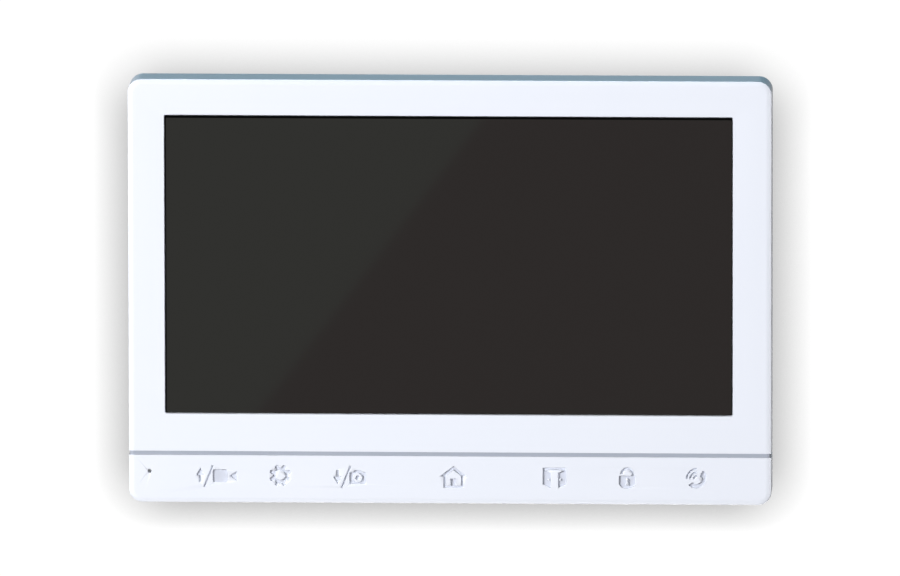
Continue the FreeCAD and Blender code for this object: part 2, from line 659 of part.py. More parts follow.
def board_passives():
    """Rows of small resistors and capacitors."""
    rows = [(-12 + 3 * k, -4) for k in range(9)] + [(-34 + 3 * k, 24) for k in range(8)] + [(11.2, 2 + 2.5 * k) for k in range(5)]
    return group(on_back(x, z, (1.8, 1.1), 0.7) for x, z in rows)


def board_connectors():
    """Display and ribbon connectors on the front face, loudspeaker connector on the back."""
    front = (BOARD_Y[0] - 2.0, BOARD_Y[0])
    display = box((-20, 20), front, (-47.0, -44.6)).cut(box((-17.2, 17.2), (-12.4, -12.1), (-46.0, -44.0)))
    ribbon = box((25.5, 38.5), front, (-47.4, -44.6)).cut(box((26.3, 37.7), (-12.3, -11.9), (-48.0, -46.2)))
    speaker = on_back(-42.6, SPEAKER_PLUG_Z, (4.4, 6.4), 3.0)
    return group([display, ribbon, speaker])


def clock_cell():
    """Coin cell that keeps the clock."""
    return rod(20.0, 14.5, 6.25, (BOARD_Y[1] + 0.5, BOARD_Y[1] + 2.5))


def clock_cell_holder():
    """Holder ring and clip of the coin cell."""
    cup = rod(20.0, 14.5, 7.3, (BOARD_Y[1], BOARD_Y[1] + 1.7)).cut(rod(20.0, 14.5, 6.3, (BOARD_Y[1] + 0.5, BOARD_Y[1] + 3)))
    clip = box((26.4, 27.6), (BOARD_Y[1], BOARD_Y[1] + 3.0), (12.5, 16.5)).fuse(
        box((23.0, 27.6), (BOARD_Y[1] + 2.55, BOARD_Y[1] + 3.0), (12.5, 16.5)))
    return fuse([cup, clip])


def socket_shroud(x, pins, pitch):
    """Open-topped connector shroud with a keyed side."""
    wide, deep = pins * pitch + 2.4, 5.8
    shroud = on_back(x, SOCKET_Z, (wide, deep), SOCKET_H)
    shroud = shroud.cut(box((x - wide / 2 + 0.8, x + wide / 2 - 0.8), (BOARD_Y[1] + 0.9, BOARD_Y[1] + SOCKET_H + 1),
                            (SOCKET_Z - deep / 2 + 0.8, SOCKET_Z + deep / 2 - 0.8)))
    for side in (-1, 1):
        key_x = x + side * (wide / 2 - 2.6)
        shroud = shroud.cut(box((key_x - 0.6, key_x + 0.6), (BOARD_Y[1] + 1.9, BOARD_Y[1] + SOCKET_H + 1),
                                (SOCKET_Z + deep / 2 - 1.2, SOCKET_Z + deep / 2 + 1)))
    return shroud


def socket_pin_row(x, pins, pitch, width):
    """Square pins of one socket."""
    places = [x + (k - (pins - 1) / 2) * pitch for k in range(pins)]
    return [box((px - width / 2, px + width / 2), (BOARD_Y[1] + 0.9, BOARD_Y[1] + SOCKET_H - 0.5),
                (SOCKET_Z - width / 2, SOCKET_Z + width / 2)) for px in places]


def line_sockets():
    """Four 4-pin sockets: two door stations, two cameras."""
    return group(socket_shroud(x, SOCKET_PINS, PIN_PITCH) for x in LINE_SOCKET_X)


def power_socket():
    """Wider 2-pin socket for the supply."""
    return socket_shroud(POWER_SOCKET_X, 2, 3.96)


def socket_pins():
    """Contact pins of all five sockets."""
    pins = [p for x in LINE_SOCKET_X for p in socket_pin_row(x, SOCKET_PINS, PIN_PITCH, 0.64)]
    return group(pins + socket_pin_row(POWER_SOCKET_X, 2, 3.96, 1.1))


def card_socket():
    """Metal-covered memory card socket; its mouth faces the side wall."""
    y0 = BOARD_Y[1]
    z = (CARD_Z - 6.8, CARD_Z + 6.8)
    block = box((76.6, 90.4), (y0, y0 + 1.9), z)
    card_y = (y0 + 0.45, y0 + 1.35)
    return block.cut(box((77.4, 95), card_y, (CARD_Z - CARD[2] / 2 - 0.15, CARD_Z + CARD[2] / 2 + 0.15)))


def card_lane():
    """Y range in which the card lies."""
    middle = BOARD_Y[1] + 0.9
    return (middle - CARD[1] / 2, middle + CARD[1] / 2)


def memory_card():
    """Memory card with its side notch and gripping lip."""
    x = (78.3, 78.3 + CARD[0])
    z = (CARD_Z - CARD[2] / 2, CARD_Z + CARD[2] / 2)
    card = box(x, card_lane(), z)
    card = card.cut(polygon([(x[0] - 1, z[1] + 1), (x[0] - 1, z[1] - 1.3), (x[0] + 6.0, z[1] - 1.3), (x[0] + 7.2, z[1] + 1)],
                            (card_lane()[0] - 1, card_lane()[1] + 1)))
    lip = box((x[1] - 1.2, x[1]), (card_lane()[1], card_lane()[1] + 0.3), (z[0] + 0.6, z[1] - 0.6))
    return fuse([card, lip])


def switch_body():
    """Slide switch on the board's tongue, open towards the side wall."""
    y0 = BOARD_Y[1]
    body = box((86.0, 90.3), (y0, y0 + 3.4), (SWITCH_Z - 4.2, SWITCH_Z + 4.2))
    cavity = box((86.6, 89.7), (y0 + 0.6, y0 + 2.8), (SWITCH_Z - 3.6, SWITCH_Z + 3.6))
    mouth = box((89.0, 91.0), (y0 + 0.8, y0 + 2.6), (SWITCH_Z - 2.2, SWITCH_Z + 2.2))
    return body.cut(cavity).cut(mouth)


def switch_lever():
    """Lever of the power switch, at its lower stop; it reaches out through the side wall."""
    y0, z = BOARD_Y[1], SWITCH_Z - SWITCH_TRAVEL / 2
    slider = box((86.9, 89.5), (y0 + 0.8, y0 + 2.6), (z - 2.3, z + 2.3))
    arm = box((89.4, 93.5), (y0 + 1.0, y0 + 2.4), (z - 0.9, z + 0.9))
    grooves = [box((93.2, 94.0), (y0, y0 + 4), (z + s - 0.15, z + s + 0.15)) for s in (-0.5, 0.0, 0.5)]
    return fuse([slider, arm]).cut(group(grooves))


def board_screws():
    """Screws that hold the main board on the rear cover's posts."""
    return group(pan_screw(x, z, BOARD_Y[0], 2.0, 1.2, 1.18, 5.2, towards=1) for x, z in BOARD_SCREWS)


# ---- loudspeaker --------------------------------------------------------------------------
def speaker_profile(points):
    """Turns a closed (radius, y) outline about the loudspeaker's axis."""
    x, z = SPEAKER
    corners = [V(x + r, y, z) for r, y in points]
    face = Part.Face(Part.makePolygon(corners + corners[:1]))
    return face.revolve(V(x, 0, z), V(0, 1, 0), 360)


def speaker_basket():
    """Steel basket with windows and a terminal tag."""
    front, back = SPEAKER_RIM_Y
    basket = speaker_profile([(SPEAKER_R, back), (13.9, back), (13.9, front - 0.3), (9.6, -8.8), (6.9, -8.8), (6.9, -9.5),
                              (10.1, -9.5), (14.6, front), (SPEAKER_R, front)])
    for k in range(4):
        a = math.radians(45 + 90 * k)
        window = box((-2.6, 2.6), (-9.0, front - 0.9), (10.0, 14.5))
        window.rotate(V(0, 0, 0), V(0, 1, 0), math.degrees(a))
        window.translate(V(SPEAKER[0], 0, SPEAKER[1]))
        basket = basket.cut(window)
    tag = box((SPEAKER[0] + 13.0, SPEAKER[0] + 16.6), (front - 1.6, front), (SPEAKER[1] - 3.0, SPEAKER[1] + 3.0))
    tag = tag.cut(speaker_profile([(0, -12), (14.1, -12), (14.1, -3), (0, -3)]))
    return basket.fuse(tag).removeSplitter()


def speaker_magnet():
    """Magnet, yoke and pole, with the ring gap that the voice coil moves in."""
    return speaker_profile([(0, -12.9), (9.0, -12.9), (9.0, -9.5), (6.75, -9.5), (6.75, -11.7), (5.45, -11.7),
                            (5.45, -8.9), (0, -8.9)])


def speaker_cone():
    """Paper cone with its dust cap and the former that the voice coil is wound on."""
    return speaker_profile([(0, -6.7), (3.4, -7.0), (6.0, -7.9), (11.6, -4.75), (11.6, -4.45), (6.2, -7.5),
                            (3.4, -6.6), (0, -6.3)]).fuse(
        speaker_profile([(5.95, -7.9), (6.3, -7.75), (6.3, -11.0), (5.95, -11.0)])).removeSplitter()


def voice_coil():
    """Copper winding on the cone's former, in the magnet's ring gap."""
    return speaker_profile([(6.3, -11.0), (6.55, -11.0), (6.55, -9.4), (6.3, -9.4)])


def speaker_surround():
    """Soft roll between the cone's edge and the basket."""
    return speaker_profile([(11.6, -4.75), (12.3, -4.1), (13.0, -3.95), (13.9, -4.35), (13.9, -4.15), (13.0, -3.7),
                            (12.2, -3.85), (11.6, -4.45)])


def speaker_gasket():
    """Foam ring between the basket's rim and the rear cover."""
    return ring(SPEAKER[0], SPEAKER[1], SPEAKER_R - 0.2, 14.2, (SPEAKER_RIM_Y[1], COVER_IN_Y - 0.2))


def speaker_cloth():
    """Dust cloth behind the grille slots."""
    return rod(SPEAKER[0], SPEAKER[1], SPEAKER_R - 0.2, (COVER_IN_Y - 0.2, COVER_IN_Y))


def clip_places():
    """The two screws of the loudspeaker's clips, (x, z)."""
    return [(SPEAKER[0], SPEAKER[1] + s * CLIP_OFFSET) for s in (-1, 1)]


def speaker_clips():
    """Two small steel clips over the basket's rim."""
    front = SPEAKER_RIM_Y[0]
    clips = []
    for x, z in clip_places():
        inward = math.copysign(1.0, SPEAKER[1] - z)
        low, high = sorted((z - inward * 2.3, z + inward * 4.2))
        blank = plate((x, (low + high) / 2), (5.0, high - low), 1.0, (front - 0.6, front))
        clips.append(blank.cut(rod(x, z, 1.1, (front - 2, front + 1))))
    return group(clips)


def speaker_clip_screws():
    """Screws of the loudspeaker's clips."""
    return group(pan_screw(x, z, SPEAKER_RIM_Y[0] - 0.6, 1.8, 1.0, 0.98, 1.9, towards=1) for x, z in clip_places())


def speaker_leads():
    """Two leads from the loudspeaker's tag to the main board."""
    leads = []
    for s in (-1, 1):
        z = SPEAKER[1] + 1.6 * s
        plug_z = SPEAKER_PLUG_Z + 1.6 * s
        leads.append(wire_tube([(SPEAKER[0] + 15.2, SPEAKER_RIM_Y[0] - 1.6, z), (SPEAKER[0] + 15.2, -7.4, z),
                                (SPEAKER[0] + 19.0, -8.4, z - 2.4), (-49.0, -8.1, plug_z), (-44.8, -8.1, plug_z)], 0.55))
    return group(leads)


# ---- back of the monitor ------------------------------------------------------------------
def cover_outside():
    """The rear cover's outer form: straight sides, then a taper to the wall."""
    size = (WIDTH - 2 * REAR_INSET, HEIGHT - 2 * REAR_INSET)
    small = (WIDTH - 2 * REAR_TAPER, HEIGHT - 2 * REAR_TAPER)
    straight = plate((0, 0), size, CORNER_R - REAR_INSET, (PARTING_Y, TAPER_Y))
    ends = [rounded_outline((0, 0), size, CORNER_R - REAR_INSET, TAPER_Y), rounded_outline((0, 0), small, 5.0, BACK_Y)]
    return straight.fuse(Part.makeLoft(ends, True, True)).removeSplitter()


def cover_inside():
    """The hollow of the rear cover."""
    size = (WIDTH - 2 * REAR_INSET - 2 * REAR_WALL, HEIGHT - 2 * REAR_INSET - 2 * REAR_WALL)
    narrower = 2 * (REAR_TAPER - REAR_INSET)
    small = (size[0] - narrower, size[1] - narrower)
    straight = plate((0, 0), size, 1.5, (PARTING_Y - 3, TAPER_Y - 0.4))
    ends = [rounded_outline((0, 0), size, 1.5, TAPER_Y - 0.4), rounded_outline((0, 0), small, 3.0, COVER_IN_Y)]
    return straight.fuse(Part.makeLoft(ends, True, True)).removeSplitter()


def hook_slots():
    """Slots in the recess that the bracket's hooks enter."""
    slots = []
    for z in HOOK_Z:
        for side in (-1, 1):
            x = side * HOOK_X
            slots.append(box((x - HOOK_W / 2 - 0.6, x + HOOK_W / 2 + 0.6), (RECESS_Y - 4, RECESS_Y + 1),
                             (z - BRACKET[2] - LIFT - 0.2, z + HOOK_PLAY)))
    return slots


def grille_slots():
    """Rows of slots over the loudspeaker, shorter towards the rim of a circle."""
    slots = []
    for k in range(-4, 5):
        z = 2.8 * k
        half = math.sqrt(13.2 ** 2 - z ** 2) - 0.8
        slots.append(plate((SPEAKER[0], SPEAKER[1] + z), (2 * half, 1.4), 0.69, (COVER_IN_Y - 1, BACK_Y + 1)))
    return slots


def vent_slots():
    """Cooling slots along the top of the back."""
    return [plate((4.0 * k, 44.5), (1.6, 12.0), 0.79, (COVER_IN_Y - 1, BACK_Y + 1)) for k in range(-13, 14)]


def rear_cover():
    """Rear shell: taper, bracket recess, connector bay, grille, vents, posts and locating lip."""
    cover = cover_outside().cut(cover_inside())
    lip_out = (WIDTH - 2 * WALL - 0.4, HEIGHT - 2 * WALL - 0.4)
    lip_in = (lip_out[0] - 2.4, lip_out[1] - 2.4)
    lip = plate((0, 0), lip_out, CORNER_R - WALL - 0.2, (PARTING_Y - 2.0, PARTING_Y + 2.0))
    lip = lip.cut(plate((0, 0), lip_in, 0.8, (PARTING_Y - 3.0, PARTING_Y + 3.0)))
    recess_mid = sum(RECESS_Z) / 2
    recess_tall = RECESS_Z[1] - RECESS_Z[0]
    bay_mid = (sum(BAY_X) / 2, sum(BAY_Z) / 2)
    bay_size = (BAY_X[1] - BAY_X[0], BAY_Z[1] - BAY_Z[0])
    walls = [
        plate((0, recess_mid), (2 * RECESS_X + 4, recess_tall + 4), 4.0, (RECESS_Y - REAR_WALL, BACK_Y - 0.1)),
        plate(bay_mid, (bay_size[0] + 4, bay_size[1] + 4), 3.0, (BAY_Y - REAR_WALL, BACK_Y - 0.1)),
    ]
    posts = [rod(x, z, 3.3, (PARTING_Y, COVER_IN_Y + 0.3)) for x, z in CASE_SCREWS]
    posts += [rod(x, z, 2.5, (BOARD_Y[1], COVER_IN_Y + 0.3)) for x, z in BOARD_SCREWS]
    posts += [rod(x, z, 2.4, (SPEAKER_RIM_Y[0], COVER_IN_Y + 0.3)) for x, z in clip_places()]
    collar = ring(SPEAKER[0], SPEAKER[1], SPEAKER_R + 1.2, SPEAKER_R + 0.15, (SPEAKER_RIM_Y[0] + 0.4, COVER_IN_Y + 0.3))
    cover = cover.fuse(walls + posts + [lip, collar.common(cover_outside())])
    cuts = [
        plate((0, recess_mid), (2 * RECESS_X, recess_tall), 3.0, (RECESS_Y, BACK_Y + 1)),
        plate(bay_mid, bay_size, 2.0, (BAY_Y, BACK_Y + 1)),
        box((BAY_X[0] + 2, RECESS_X - 3), (RECESS_Y, BACK_Y + 1), (BAY_Z[1] - 1, RECESS_Z[0] + 1)),
    ]
    cuts += hook_slots() + grille_slots() + vent_slots()
    for x, z in CASE_SCREWS:
        cuts += [rod(x, z, 2.5, (PARTING_Y + 1.8, BACK_Y + 1)), rod(x, z, 1.5, (PARTING_Y - 1, BACK_Y))]
    cuts += [rod(x, z, 1.2, (BOARD_Y[1] - 1, BOARD_Y[1] + 4.6)) for x, z in BOARD_SCREWS]
    cuts += [rod(x, z, 1.0, (SPEAKER_RIM_Y[0] - 1, SPEAKER_RIM_Y[0] + 1.6)) for x, z in clip_places()]
    for x in LINE_SOCKET_X:
        cuts.append(socket_hole(x, SOCKET_PINS * PIN_PITCH + 2.4))
    cuts.append(socket_hole(POWER_SOCKET_X, 2 * 3.96 + 2.4))
    card_y = card_lane()
    cuts.append(box((90.0, 96.0), (card_y[0] - 0.3, card_y[1] + 0.6), (CARD_Z - 6.0, CARD_Z + 6.0)))
    cuts.append(Part.makeCylinder(4.0, 2.0, V(93.0, sum(card_y) / 2 + 0.2, CARD_Z), V(1, 0, 0)).common(
        box((93.0, 95.0), (PARTING_Y + 0.4, TAPER_Y - 0.3), (CARD_Z - 8, CARD_Z + 8))))
    lever_y = (BOARD_Y[1] + 0.7, BOARD_Y[1] + 2.7)
    cuts.append(box((90.4, 96.0), lever_y, (SWITCH_Z - 2.2, SWITCH_Z + 2.2)))
    cuts.append(box((92.9, 96.0), (PARTING_Y + 0.5, TAPER_Y - 0.2), (SWITCH_Z - 4.0, SWITCH_Z + 4.0)))
    return cover.cut(group(cuts)).removeSplitter()


def socket_hole(x, wide):
    """Opening in the bay's floor for one socket."""
    return box((x - wide / 2 - 0.3, x + wide / 2 + 0.3), (BAY_Y - REAR_WALL - 1, BAY_Y + 1), (SOCKET_Z - 3.2, SOCKET_Z + 3.2))


def case_screws():
    """Six long screws through the cover's posts into the housing's posts."""
    return group(pan_screw(x, z, PARTING_Y + 1.8, 2.3, 1.4, 1.28, 8.4) for x, z in CASE_SCREWS)


def rating_label():
    """Blank rating label in the bracket's recess."""
    return plate((0, 0), (50.0, 20.0), 1.5, (RECESS_Y, RECESS_Y + 0.12))


def wall_bracket():
    """Pressed steel bracket: plate, cable window, screw holes, stiffening flanges and four hooks."""
    y = (-BRACKET[2], 0.0)
    base = plate((0, 0), (BRACKET[0], BRACKET[1]), 4.0, y)
    through = (-9.0, 1.0)
    base = base.cut(plate((0, 0), BRACKET_WINDOW, 3.0, through))
    for sx in (-1, 1):
        for sz in (-1, 1):
            base = base.cut(rod(sx * BRACKET_HOLES[0] / 2, sz * BRACKET_HOLES[1] / 2, BRACKET_HOLE_R, through))
        slot = (BOX_SLOTS[1], 2 * BRACKET_HOLE_R)
        base = base.cut(plate((sx * BOX_SLOTS[0] / 2, 0), slot, BRACKET_HOLE_R - 0.001, through))
    hooks = []
    for sx in (-1, 1):
        for z in HOOK_Z:
            x = (sx * HOOK_X - HOOK_W / 2, sx * HOOK_X + HOOK_W / 2)
            base = base.cut(box((x[0] - 0.4, x[1] + 0.4), through, (z - BRACKET[2] - 10.5, z - BRACKET[2])))
            inside = RECESS_Y - REAR_WALL - 0.3
            leg = box(x, (inside - BRACKET[2], y[1]), (z - BRACKET[2], z))
            tab = box(x, (inside - BRACKET[2], inside), (z - BRACKET[2], z + HOOK_RISE))
            hook = fuse([leg, tab])
            bend = [e for e in hook.Edges if e.BoundBox.XLength > HOOK_W - 0.1
                    and abs(e.CenterOfMass.y - inside + BRACKET[2]) < 1e-6 and abs(e.CenterOfMass.z - z + BRACKET[2]) < 1e-6]
            hooks.append(hook.makeFillet(1.0, bend))
    flanges = [box((-42, 42), (-3.2, 0.0), (sz * BRACKET[1] / 2, sz * (BRACKET[1] / 2 - BRACKET[2]))) for sz in (-1, 1)]
    return fuse([base] + hooks + flanges)


NODES = {
    "wall_bracket": wall_bracket,
    "front_housing": front_housing,
    "trim_strip": trim_strip,
    "window_lens": window_lens,
    "lens_tape": lens_tape,
    "lcd_cushion": lcd_cushion,
    "lcd_bezel": lcd_bezel,
    "lcd_glass": lcd_glass,
    "lcd_backlight_frame": lcd_backlight_frame,
    "lcd_light_guide": lcd_light_guide,
    "lcd_reflector": lcd_reflector,
    "lcd_brackets": lcd_brackets,
    "lcd_bracket_screws": lcd_bracket_screws,
    "lcd_flex": lcd_flex,
    "key_light_baffle": key_light_baffle,
    "touch_board": touch_board,
    "touch_pads": touch_pads,
    "key_leds": key_leds,
    "touch_components": touch_components,
    "touch_board_screws": touch_board_screws,
    "touch_ribbon": touch_ribbon,
    "microphone": microphone,
    "microphone_boot": microphone_boot,
    "microphone_leads": microphone_leads,
    "main_board": main_board,
    "main_chips": main_chips,
    "board_inductors": board_inductors,
    "board_capacitors": board_capacitors,
    "board_passives": board_passives,
    "board_connectors": board_connectors,
    "clock_cell": clock_cell,
    "clock_cell_holder": clock_cell_holder,
    "line_sockets": line_sockets,
    "power_socket": power_socket,
    "socket_pins": socket_pins,
    "card_socket": card_socket,
    "memory_card": memory_card,
    "switch_body": switch_body,
    "switch_lever": switch_lever,
    "board_screws": board_screws,
    "speaker_basket": speaker_basket,
    "speaker_magnet": speaker_magnet,
    "speaker_cone": speaker_cone,
    "voice_coil": voice_coil,
    "speaker_surround": speaker_surround,
    "speaker_gasket": speaker_gasket,
    "speaker_cloth": speaker_cloth,
    "speaker_clips": speaker_clips,
    "speaker_clip_screws": speaker_clip_screws,
    "speaker_leads": speaker_leads,
    "rear_cover": rear_cover,
    "case_screws": case_screws,
    "rating_label": rating_label,
}


def main():
    """Builds every node and writes one STEP file for each."""
    os.makedirs("parts", exist_ok=True)
    shapes = {name: build() for name, build in NODES.items()}
    for name in ICONS:
        shapes["icon_" + name] = icon_inlay(name)
    for name, shape in shapes.items():
        if not shape.isValid() or not shape.Solids:
            print("PROBLEM", name, "valid", shape.isValid(), "solids", len(shape.Solids))
        group(shape.Solids).exportStep("parts/%s.step" % name)
        print("%-22s solids %2d volume %10.2f" % (name, len(shape.Solids), sum(s.Volume for s in shape.Solids)))


main()
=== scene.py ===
"""Indoor video intercom monitor on its wall bracket, dressed and lit.

Shapes are worked in the frame's own millimetres and brought to metres when a piece is finished:
+X to the right as seen from the front, +Y towards the wall, +Z up.
"""

import logging
import math
from dataclasses import dataclass
from enum import Enum
from typing import Callable, Iterable, Optional

import bmesh
import bpy
from mathutils import Matrix, Vector


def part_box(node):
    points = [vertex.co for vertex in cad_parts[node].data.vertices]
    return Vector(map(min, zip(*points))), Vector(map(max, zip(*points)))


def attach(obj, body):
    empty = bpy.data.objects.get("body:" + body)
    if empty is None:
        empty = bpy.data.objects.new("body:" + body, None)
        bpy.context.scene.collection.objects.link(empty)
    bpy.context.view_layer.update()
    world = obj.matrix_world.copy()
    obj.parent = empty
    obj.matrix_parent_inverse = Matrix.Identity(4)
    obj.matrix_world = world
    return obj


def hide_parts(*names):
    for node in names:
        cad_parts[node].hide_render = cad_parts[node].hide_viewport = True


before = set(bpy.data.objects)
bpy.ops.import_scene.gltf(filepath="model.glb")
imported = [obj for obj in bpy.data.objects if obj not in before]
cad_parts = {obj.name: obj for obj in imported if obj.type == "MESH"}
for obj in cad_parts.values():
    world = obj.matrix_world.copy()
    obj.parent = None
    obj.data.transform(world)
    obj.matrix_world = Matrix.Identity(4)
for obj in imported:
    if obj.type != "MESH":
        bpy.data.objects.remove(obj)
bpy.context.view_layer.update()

Mesh, Face, Edge, Vert = bmesh.types.BMesh, bmesh.types.BMFace, bmesh.types.BMEdge, bmesh.types.BMVert
Tree, Node, Socket = bpy.types.NodeTree, bpy.types.Node, bpy.types.NodeSocket
Piece, Material = bpy.types.Object, bpy.types.Material

LOG = logging.getLogger("monitor")
MM = 0.001
# How far light spreads under a milky skin, and how deep the marks on metal are, in millimetres.
SCATTER_REACH = 0.6
METAL_RELIEF = 0.002
# A brush stroke is this much thinner than it is long.
BRUSH_STRETCH = 0.03


# ---- measures from the frame --------------------------------------------------------------
@dataclass(frozen=True)
class Span:
    """A node's box in millimetres."""

    low: Vector
    high: Vector

    @classmethod
    def of(cls, node: str) -> "Span":
        """Box of one CAD node.

        Args:
            node: name of the node.

        Returns:
            The node's span in millimetres.
        """
        low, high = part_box(node)
        return cls(low / MM, high / MM)

    @property
    def centre(self) -> Vector:
        """Middle of the box."""
        return (self.low + self.high) / 2

    @property
    def size(self) -> Vector:
        """Edge lengths of the box."""
        return self.high - self.low


# ---- node and colour helpers --------------------------------------------------------------
def linear(colour: str) -> tuple[float, float, float, float]:
    """Turns an sRGB hex colour into linear values.

    Args:
        colour: hex digits such as "f4f6fb".

    Returns:
        Red, green, blue and an alpha of 1.
    """
    values = [int(colour[k:k + 2], 16) / 255 for k in (0, 2, 4)]
    curved = [v / 12.92 if v <= 0.04045 else ((v + 0.055) / 1.055) ** 2.4 for v in values]
    return (curved[0], curved[1], curved[2], 1.0)


def add_node(
    tree: Tree,
    kind: str,
    settings: Optional[dict[str, object]] = None,
    links: Optional[dict[str, Socket]] = None,
) -> Node:
    """Adds one shader node.

    Args:
        tree: the node tree it goes in.
        kind: Blender's name for the node's type.
        settings: values for its properties or, where no property has the name, its input sockets.
        links: output sockets to join to its inputs, by the input's name or number.

    Returns:
        The new node.
    """
    node = tree.nodes.new(kind)
    for name, value in (settings or {}).items():
        if hasattr(node, name):
            setattr(node, name, value)
        else:
            node.inputs[int(name) if name.isdigit() else name].default_value = value
    for name, socket in (links or {}).items():
        tree.links.new(socket, node.inputs[int(name) if name.isdigit() else name])
    return node


def fresh_material(name: str) -> tuple[Material, Tree, Node]:
    """Starts a material with one Principled shader.

    Args:
        name: the material's name.

    Returns:
        The material, its tree and its Principled node.
    """
    material = bpy.data.materials.new(name)
    material.use_nodes = True
    tree = material.node_tree
    shader = next(n for n in tree.nodes if n.type == "BSDF_PRINCIPLED")
    return material, tree, shader


def set_shader(shader: Node, **values: object) -> None:
    """Sets a shader's inputs, and joins those whose value is another node's output.

    Args:
        shader: the shader node.
        values: constants or output sockets, by input name with underscores for its spaces.
    """
    for name, value in values.items():
        socket = shader.inputs[name.replace("_", " ").title().replace("Ior", "IOR")]
        if isinstance(value, Socket):
            shader.id_data.links.new(value, socket)
        else:
            socket.default_value = value


def per_mm(spacing: float) -> float:
    """Texture scale at which one feature takes this many millimetres of Object space."""
    return 1.0 / (spacing * MM)


# ---- finishes -----------------------------------------------------------------------------
@dataclass(frozen=True)
class MouldedPlastic:
    """Injection-moulded thermoplastic: even colour, slight sheen, and the mould's fine texture."""

    name: str
    colour: str
    tint: str
    roughness: float
    ior: float = 1.53
    grain: float = 0.35
    grain_depth: float = 0.004
    drift: float = 28.0
    scatter: float = 0.0

    def material(self) -> Material:
        """Makes the material.

        Returns:
            Plastic whose colour drifts a little over centimetres and whose skin has a moulded grain.
        """
        material, tree, shader = fresh_material(self.name)
        place = add_node(tree, "ShaderNodeTexCoord").outputs["Object"]
        clouds = {"Scale": per_mm(self.drift), "Detail": 2.0}
        flow = add_node(tree, "ShaderNodeTexNoise", clouds, {"Vector": place})
        tones = {"data_type": "RGBA", "6": linear(self.colour), "7": linear(self.tint)}
        colour = add_node(tree, "ShaderNodeMix", tones, {"0": flow.outputs["Fac"]})
        mould = {"Scale": per_mm(self.grain), "Detail": 3.0}
        grain = add_node(tree, "ShaderNodeTexNoise", mould, {"Vector": place}).outputs["Fac"]
        spread = {"To Min": self.roughness * 0.88, "To Max": self.roughness * 1.12}
        gloss = add_node(tree, "ShaderNodeMapRange", spread, {"Value": grain})
        relief = {"Strength": 1.0, "Distance": self.grain_depth * MM}
        bump = add_node(tree, "ShaderNodeBump", relief, {"Height": grain})
        set_shader(
            shader,
            base_color=colour.outputs[2],
            roughness=gloss.outputs["Result"],
            normal=bump.outputs["Normal"],
            ior=self.ior,
            subsurface_weight=self.scatter,
            subsurface_scale=SCATTER_REACH * MM,
        )
        return material


@dataclass(frozen=True)
class PolishedAcrylic:
    """Cast acrylic with black ink printed on its back: deep, dark and mirror-smooth."""

    name: str
    ink: str
    thin_ink: str = "060606"
    ior: float = 1.49
    roughness: float = 0.035
    haze: float = 45.0

    def material(self) -> Material:
        """Makes the material.

        Returns:
            Black acrylic with a faint variation of polish, as wiping leaves.
        """
        material, tree, shader = fresh_material(self.name)
        place = add_node(tree, "ShaderNodeTexCoord").outputs["Object"]
        marks = {"Scale": per_mm(self.haze), "Detail": 4.0}
        wipe = add_node(tree, "ShaderNodeTexNoise", marks, {"Vector": place}).outputs["Fac"]
        spread = {"To Min": self.roughness * 0.8, "To Max": self.roughness * 1.2}
        gloss = add_node(tree, "ShaderNodeMapRange", spread, {"Value": wipe})
        inks = {"data_type": "RGBA", "6": linear(self.ink), "7": linear(self.thin_ink)}
        ink = add_node(tree, "ShaderNodeMix", inks, {"0": wipe})
        set_shader(shader, base_color=ink.outputs[2], roughness=gloss.outputs["Result"], ior=self.ior)
        return material


class Working(Enum):
    """How a metal surface was worked."""

    BRUSHED = "brushed"
    SPANGLED = "spangled"
    PLATED = "plated"


@dataclass(frozen=True)
class Metal:
    """Bare or plated metal with the marks of how it was worked."""

    name: str
    colour: str
    shade: str
    roughness: float
    working: Working
    mark: float

    def pattern(self, tree: Tree, place: Socket) -> Socket:
        """Adds the pattern of the working.

        Args:
            tree: the material's tree.
            place: Object coordinates.

        Returns:
            The pattern's value, 0 to 1.
        """
        if self.working is Working.SPANGLED:
            cells = add_node(tree, "ShaderNodeTexVoronoi", {"Scale": per_mm(self.mark)}, {"Vector": place})
            return add_node(tree, "ShaderNodeSeparateColor", None, {"0": cells.outputs["Color"]}).outputs[0]
        stretch = (BRUSH_STRETCH, 1.0, 1.0) if self.working is Working.BRUSHED else (1.0, 1.0, 1.0)
        drawn = add_node(tree, "ShaderNodeMapping", {"Scale": stretch}, {"Vector": place}).outputs[0]
        marks = {"Scale": per_mm(self.mark), "Detail": 4.0}
        return add_node(tree, "ShaderNodeTexNoise", marks, {"Vector": drawn}).outputs["Fac"]

    def material(self) -> Material:
        """Makes the material.

        Returns:
            Metal whose tone, polish and height follow the marks.
        """
        material, tree, shader = fresh_material(self.name)
        place = add_node(tree, "ShaderNodeTexCoord").outputs["Object"]
        marks = self.pattern(tree, place)
        tones = {"data_type": "RGBA", "6": linear(self.colour), "7": linear(self.shade)}
        colour = add_node(tree, "ShaderNodeMix", tones, {"0": marks})
        spread = {"To Min": self.roughness * 0.8, "To Max": self.roughness * 1.25}
        gloss = add_node(tree, "ShaderNodeMapRange", spread, {"Value": marks})
        relief = {"Strength": 0.5, "Distance": METAL_RELIEF * MM}
        bump = add_node(tree, "ShaderNodeBump", relief, {"Height": marks})
        set_shader(
            shader,
            base_color=colour.outputs[2],
            roughness=gloss.outputs["Result"],
            normal=bump.outputs["Normal"],
            metallic=1.0,
        )
        return material


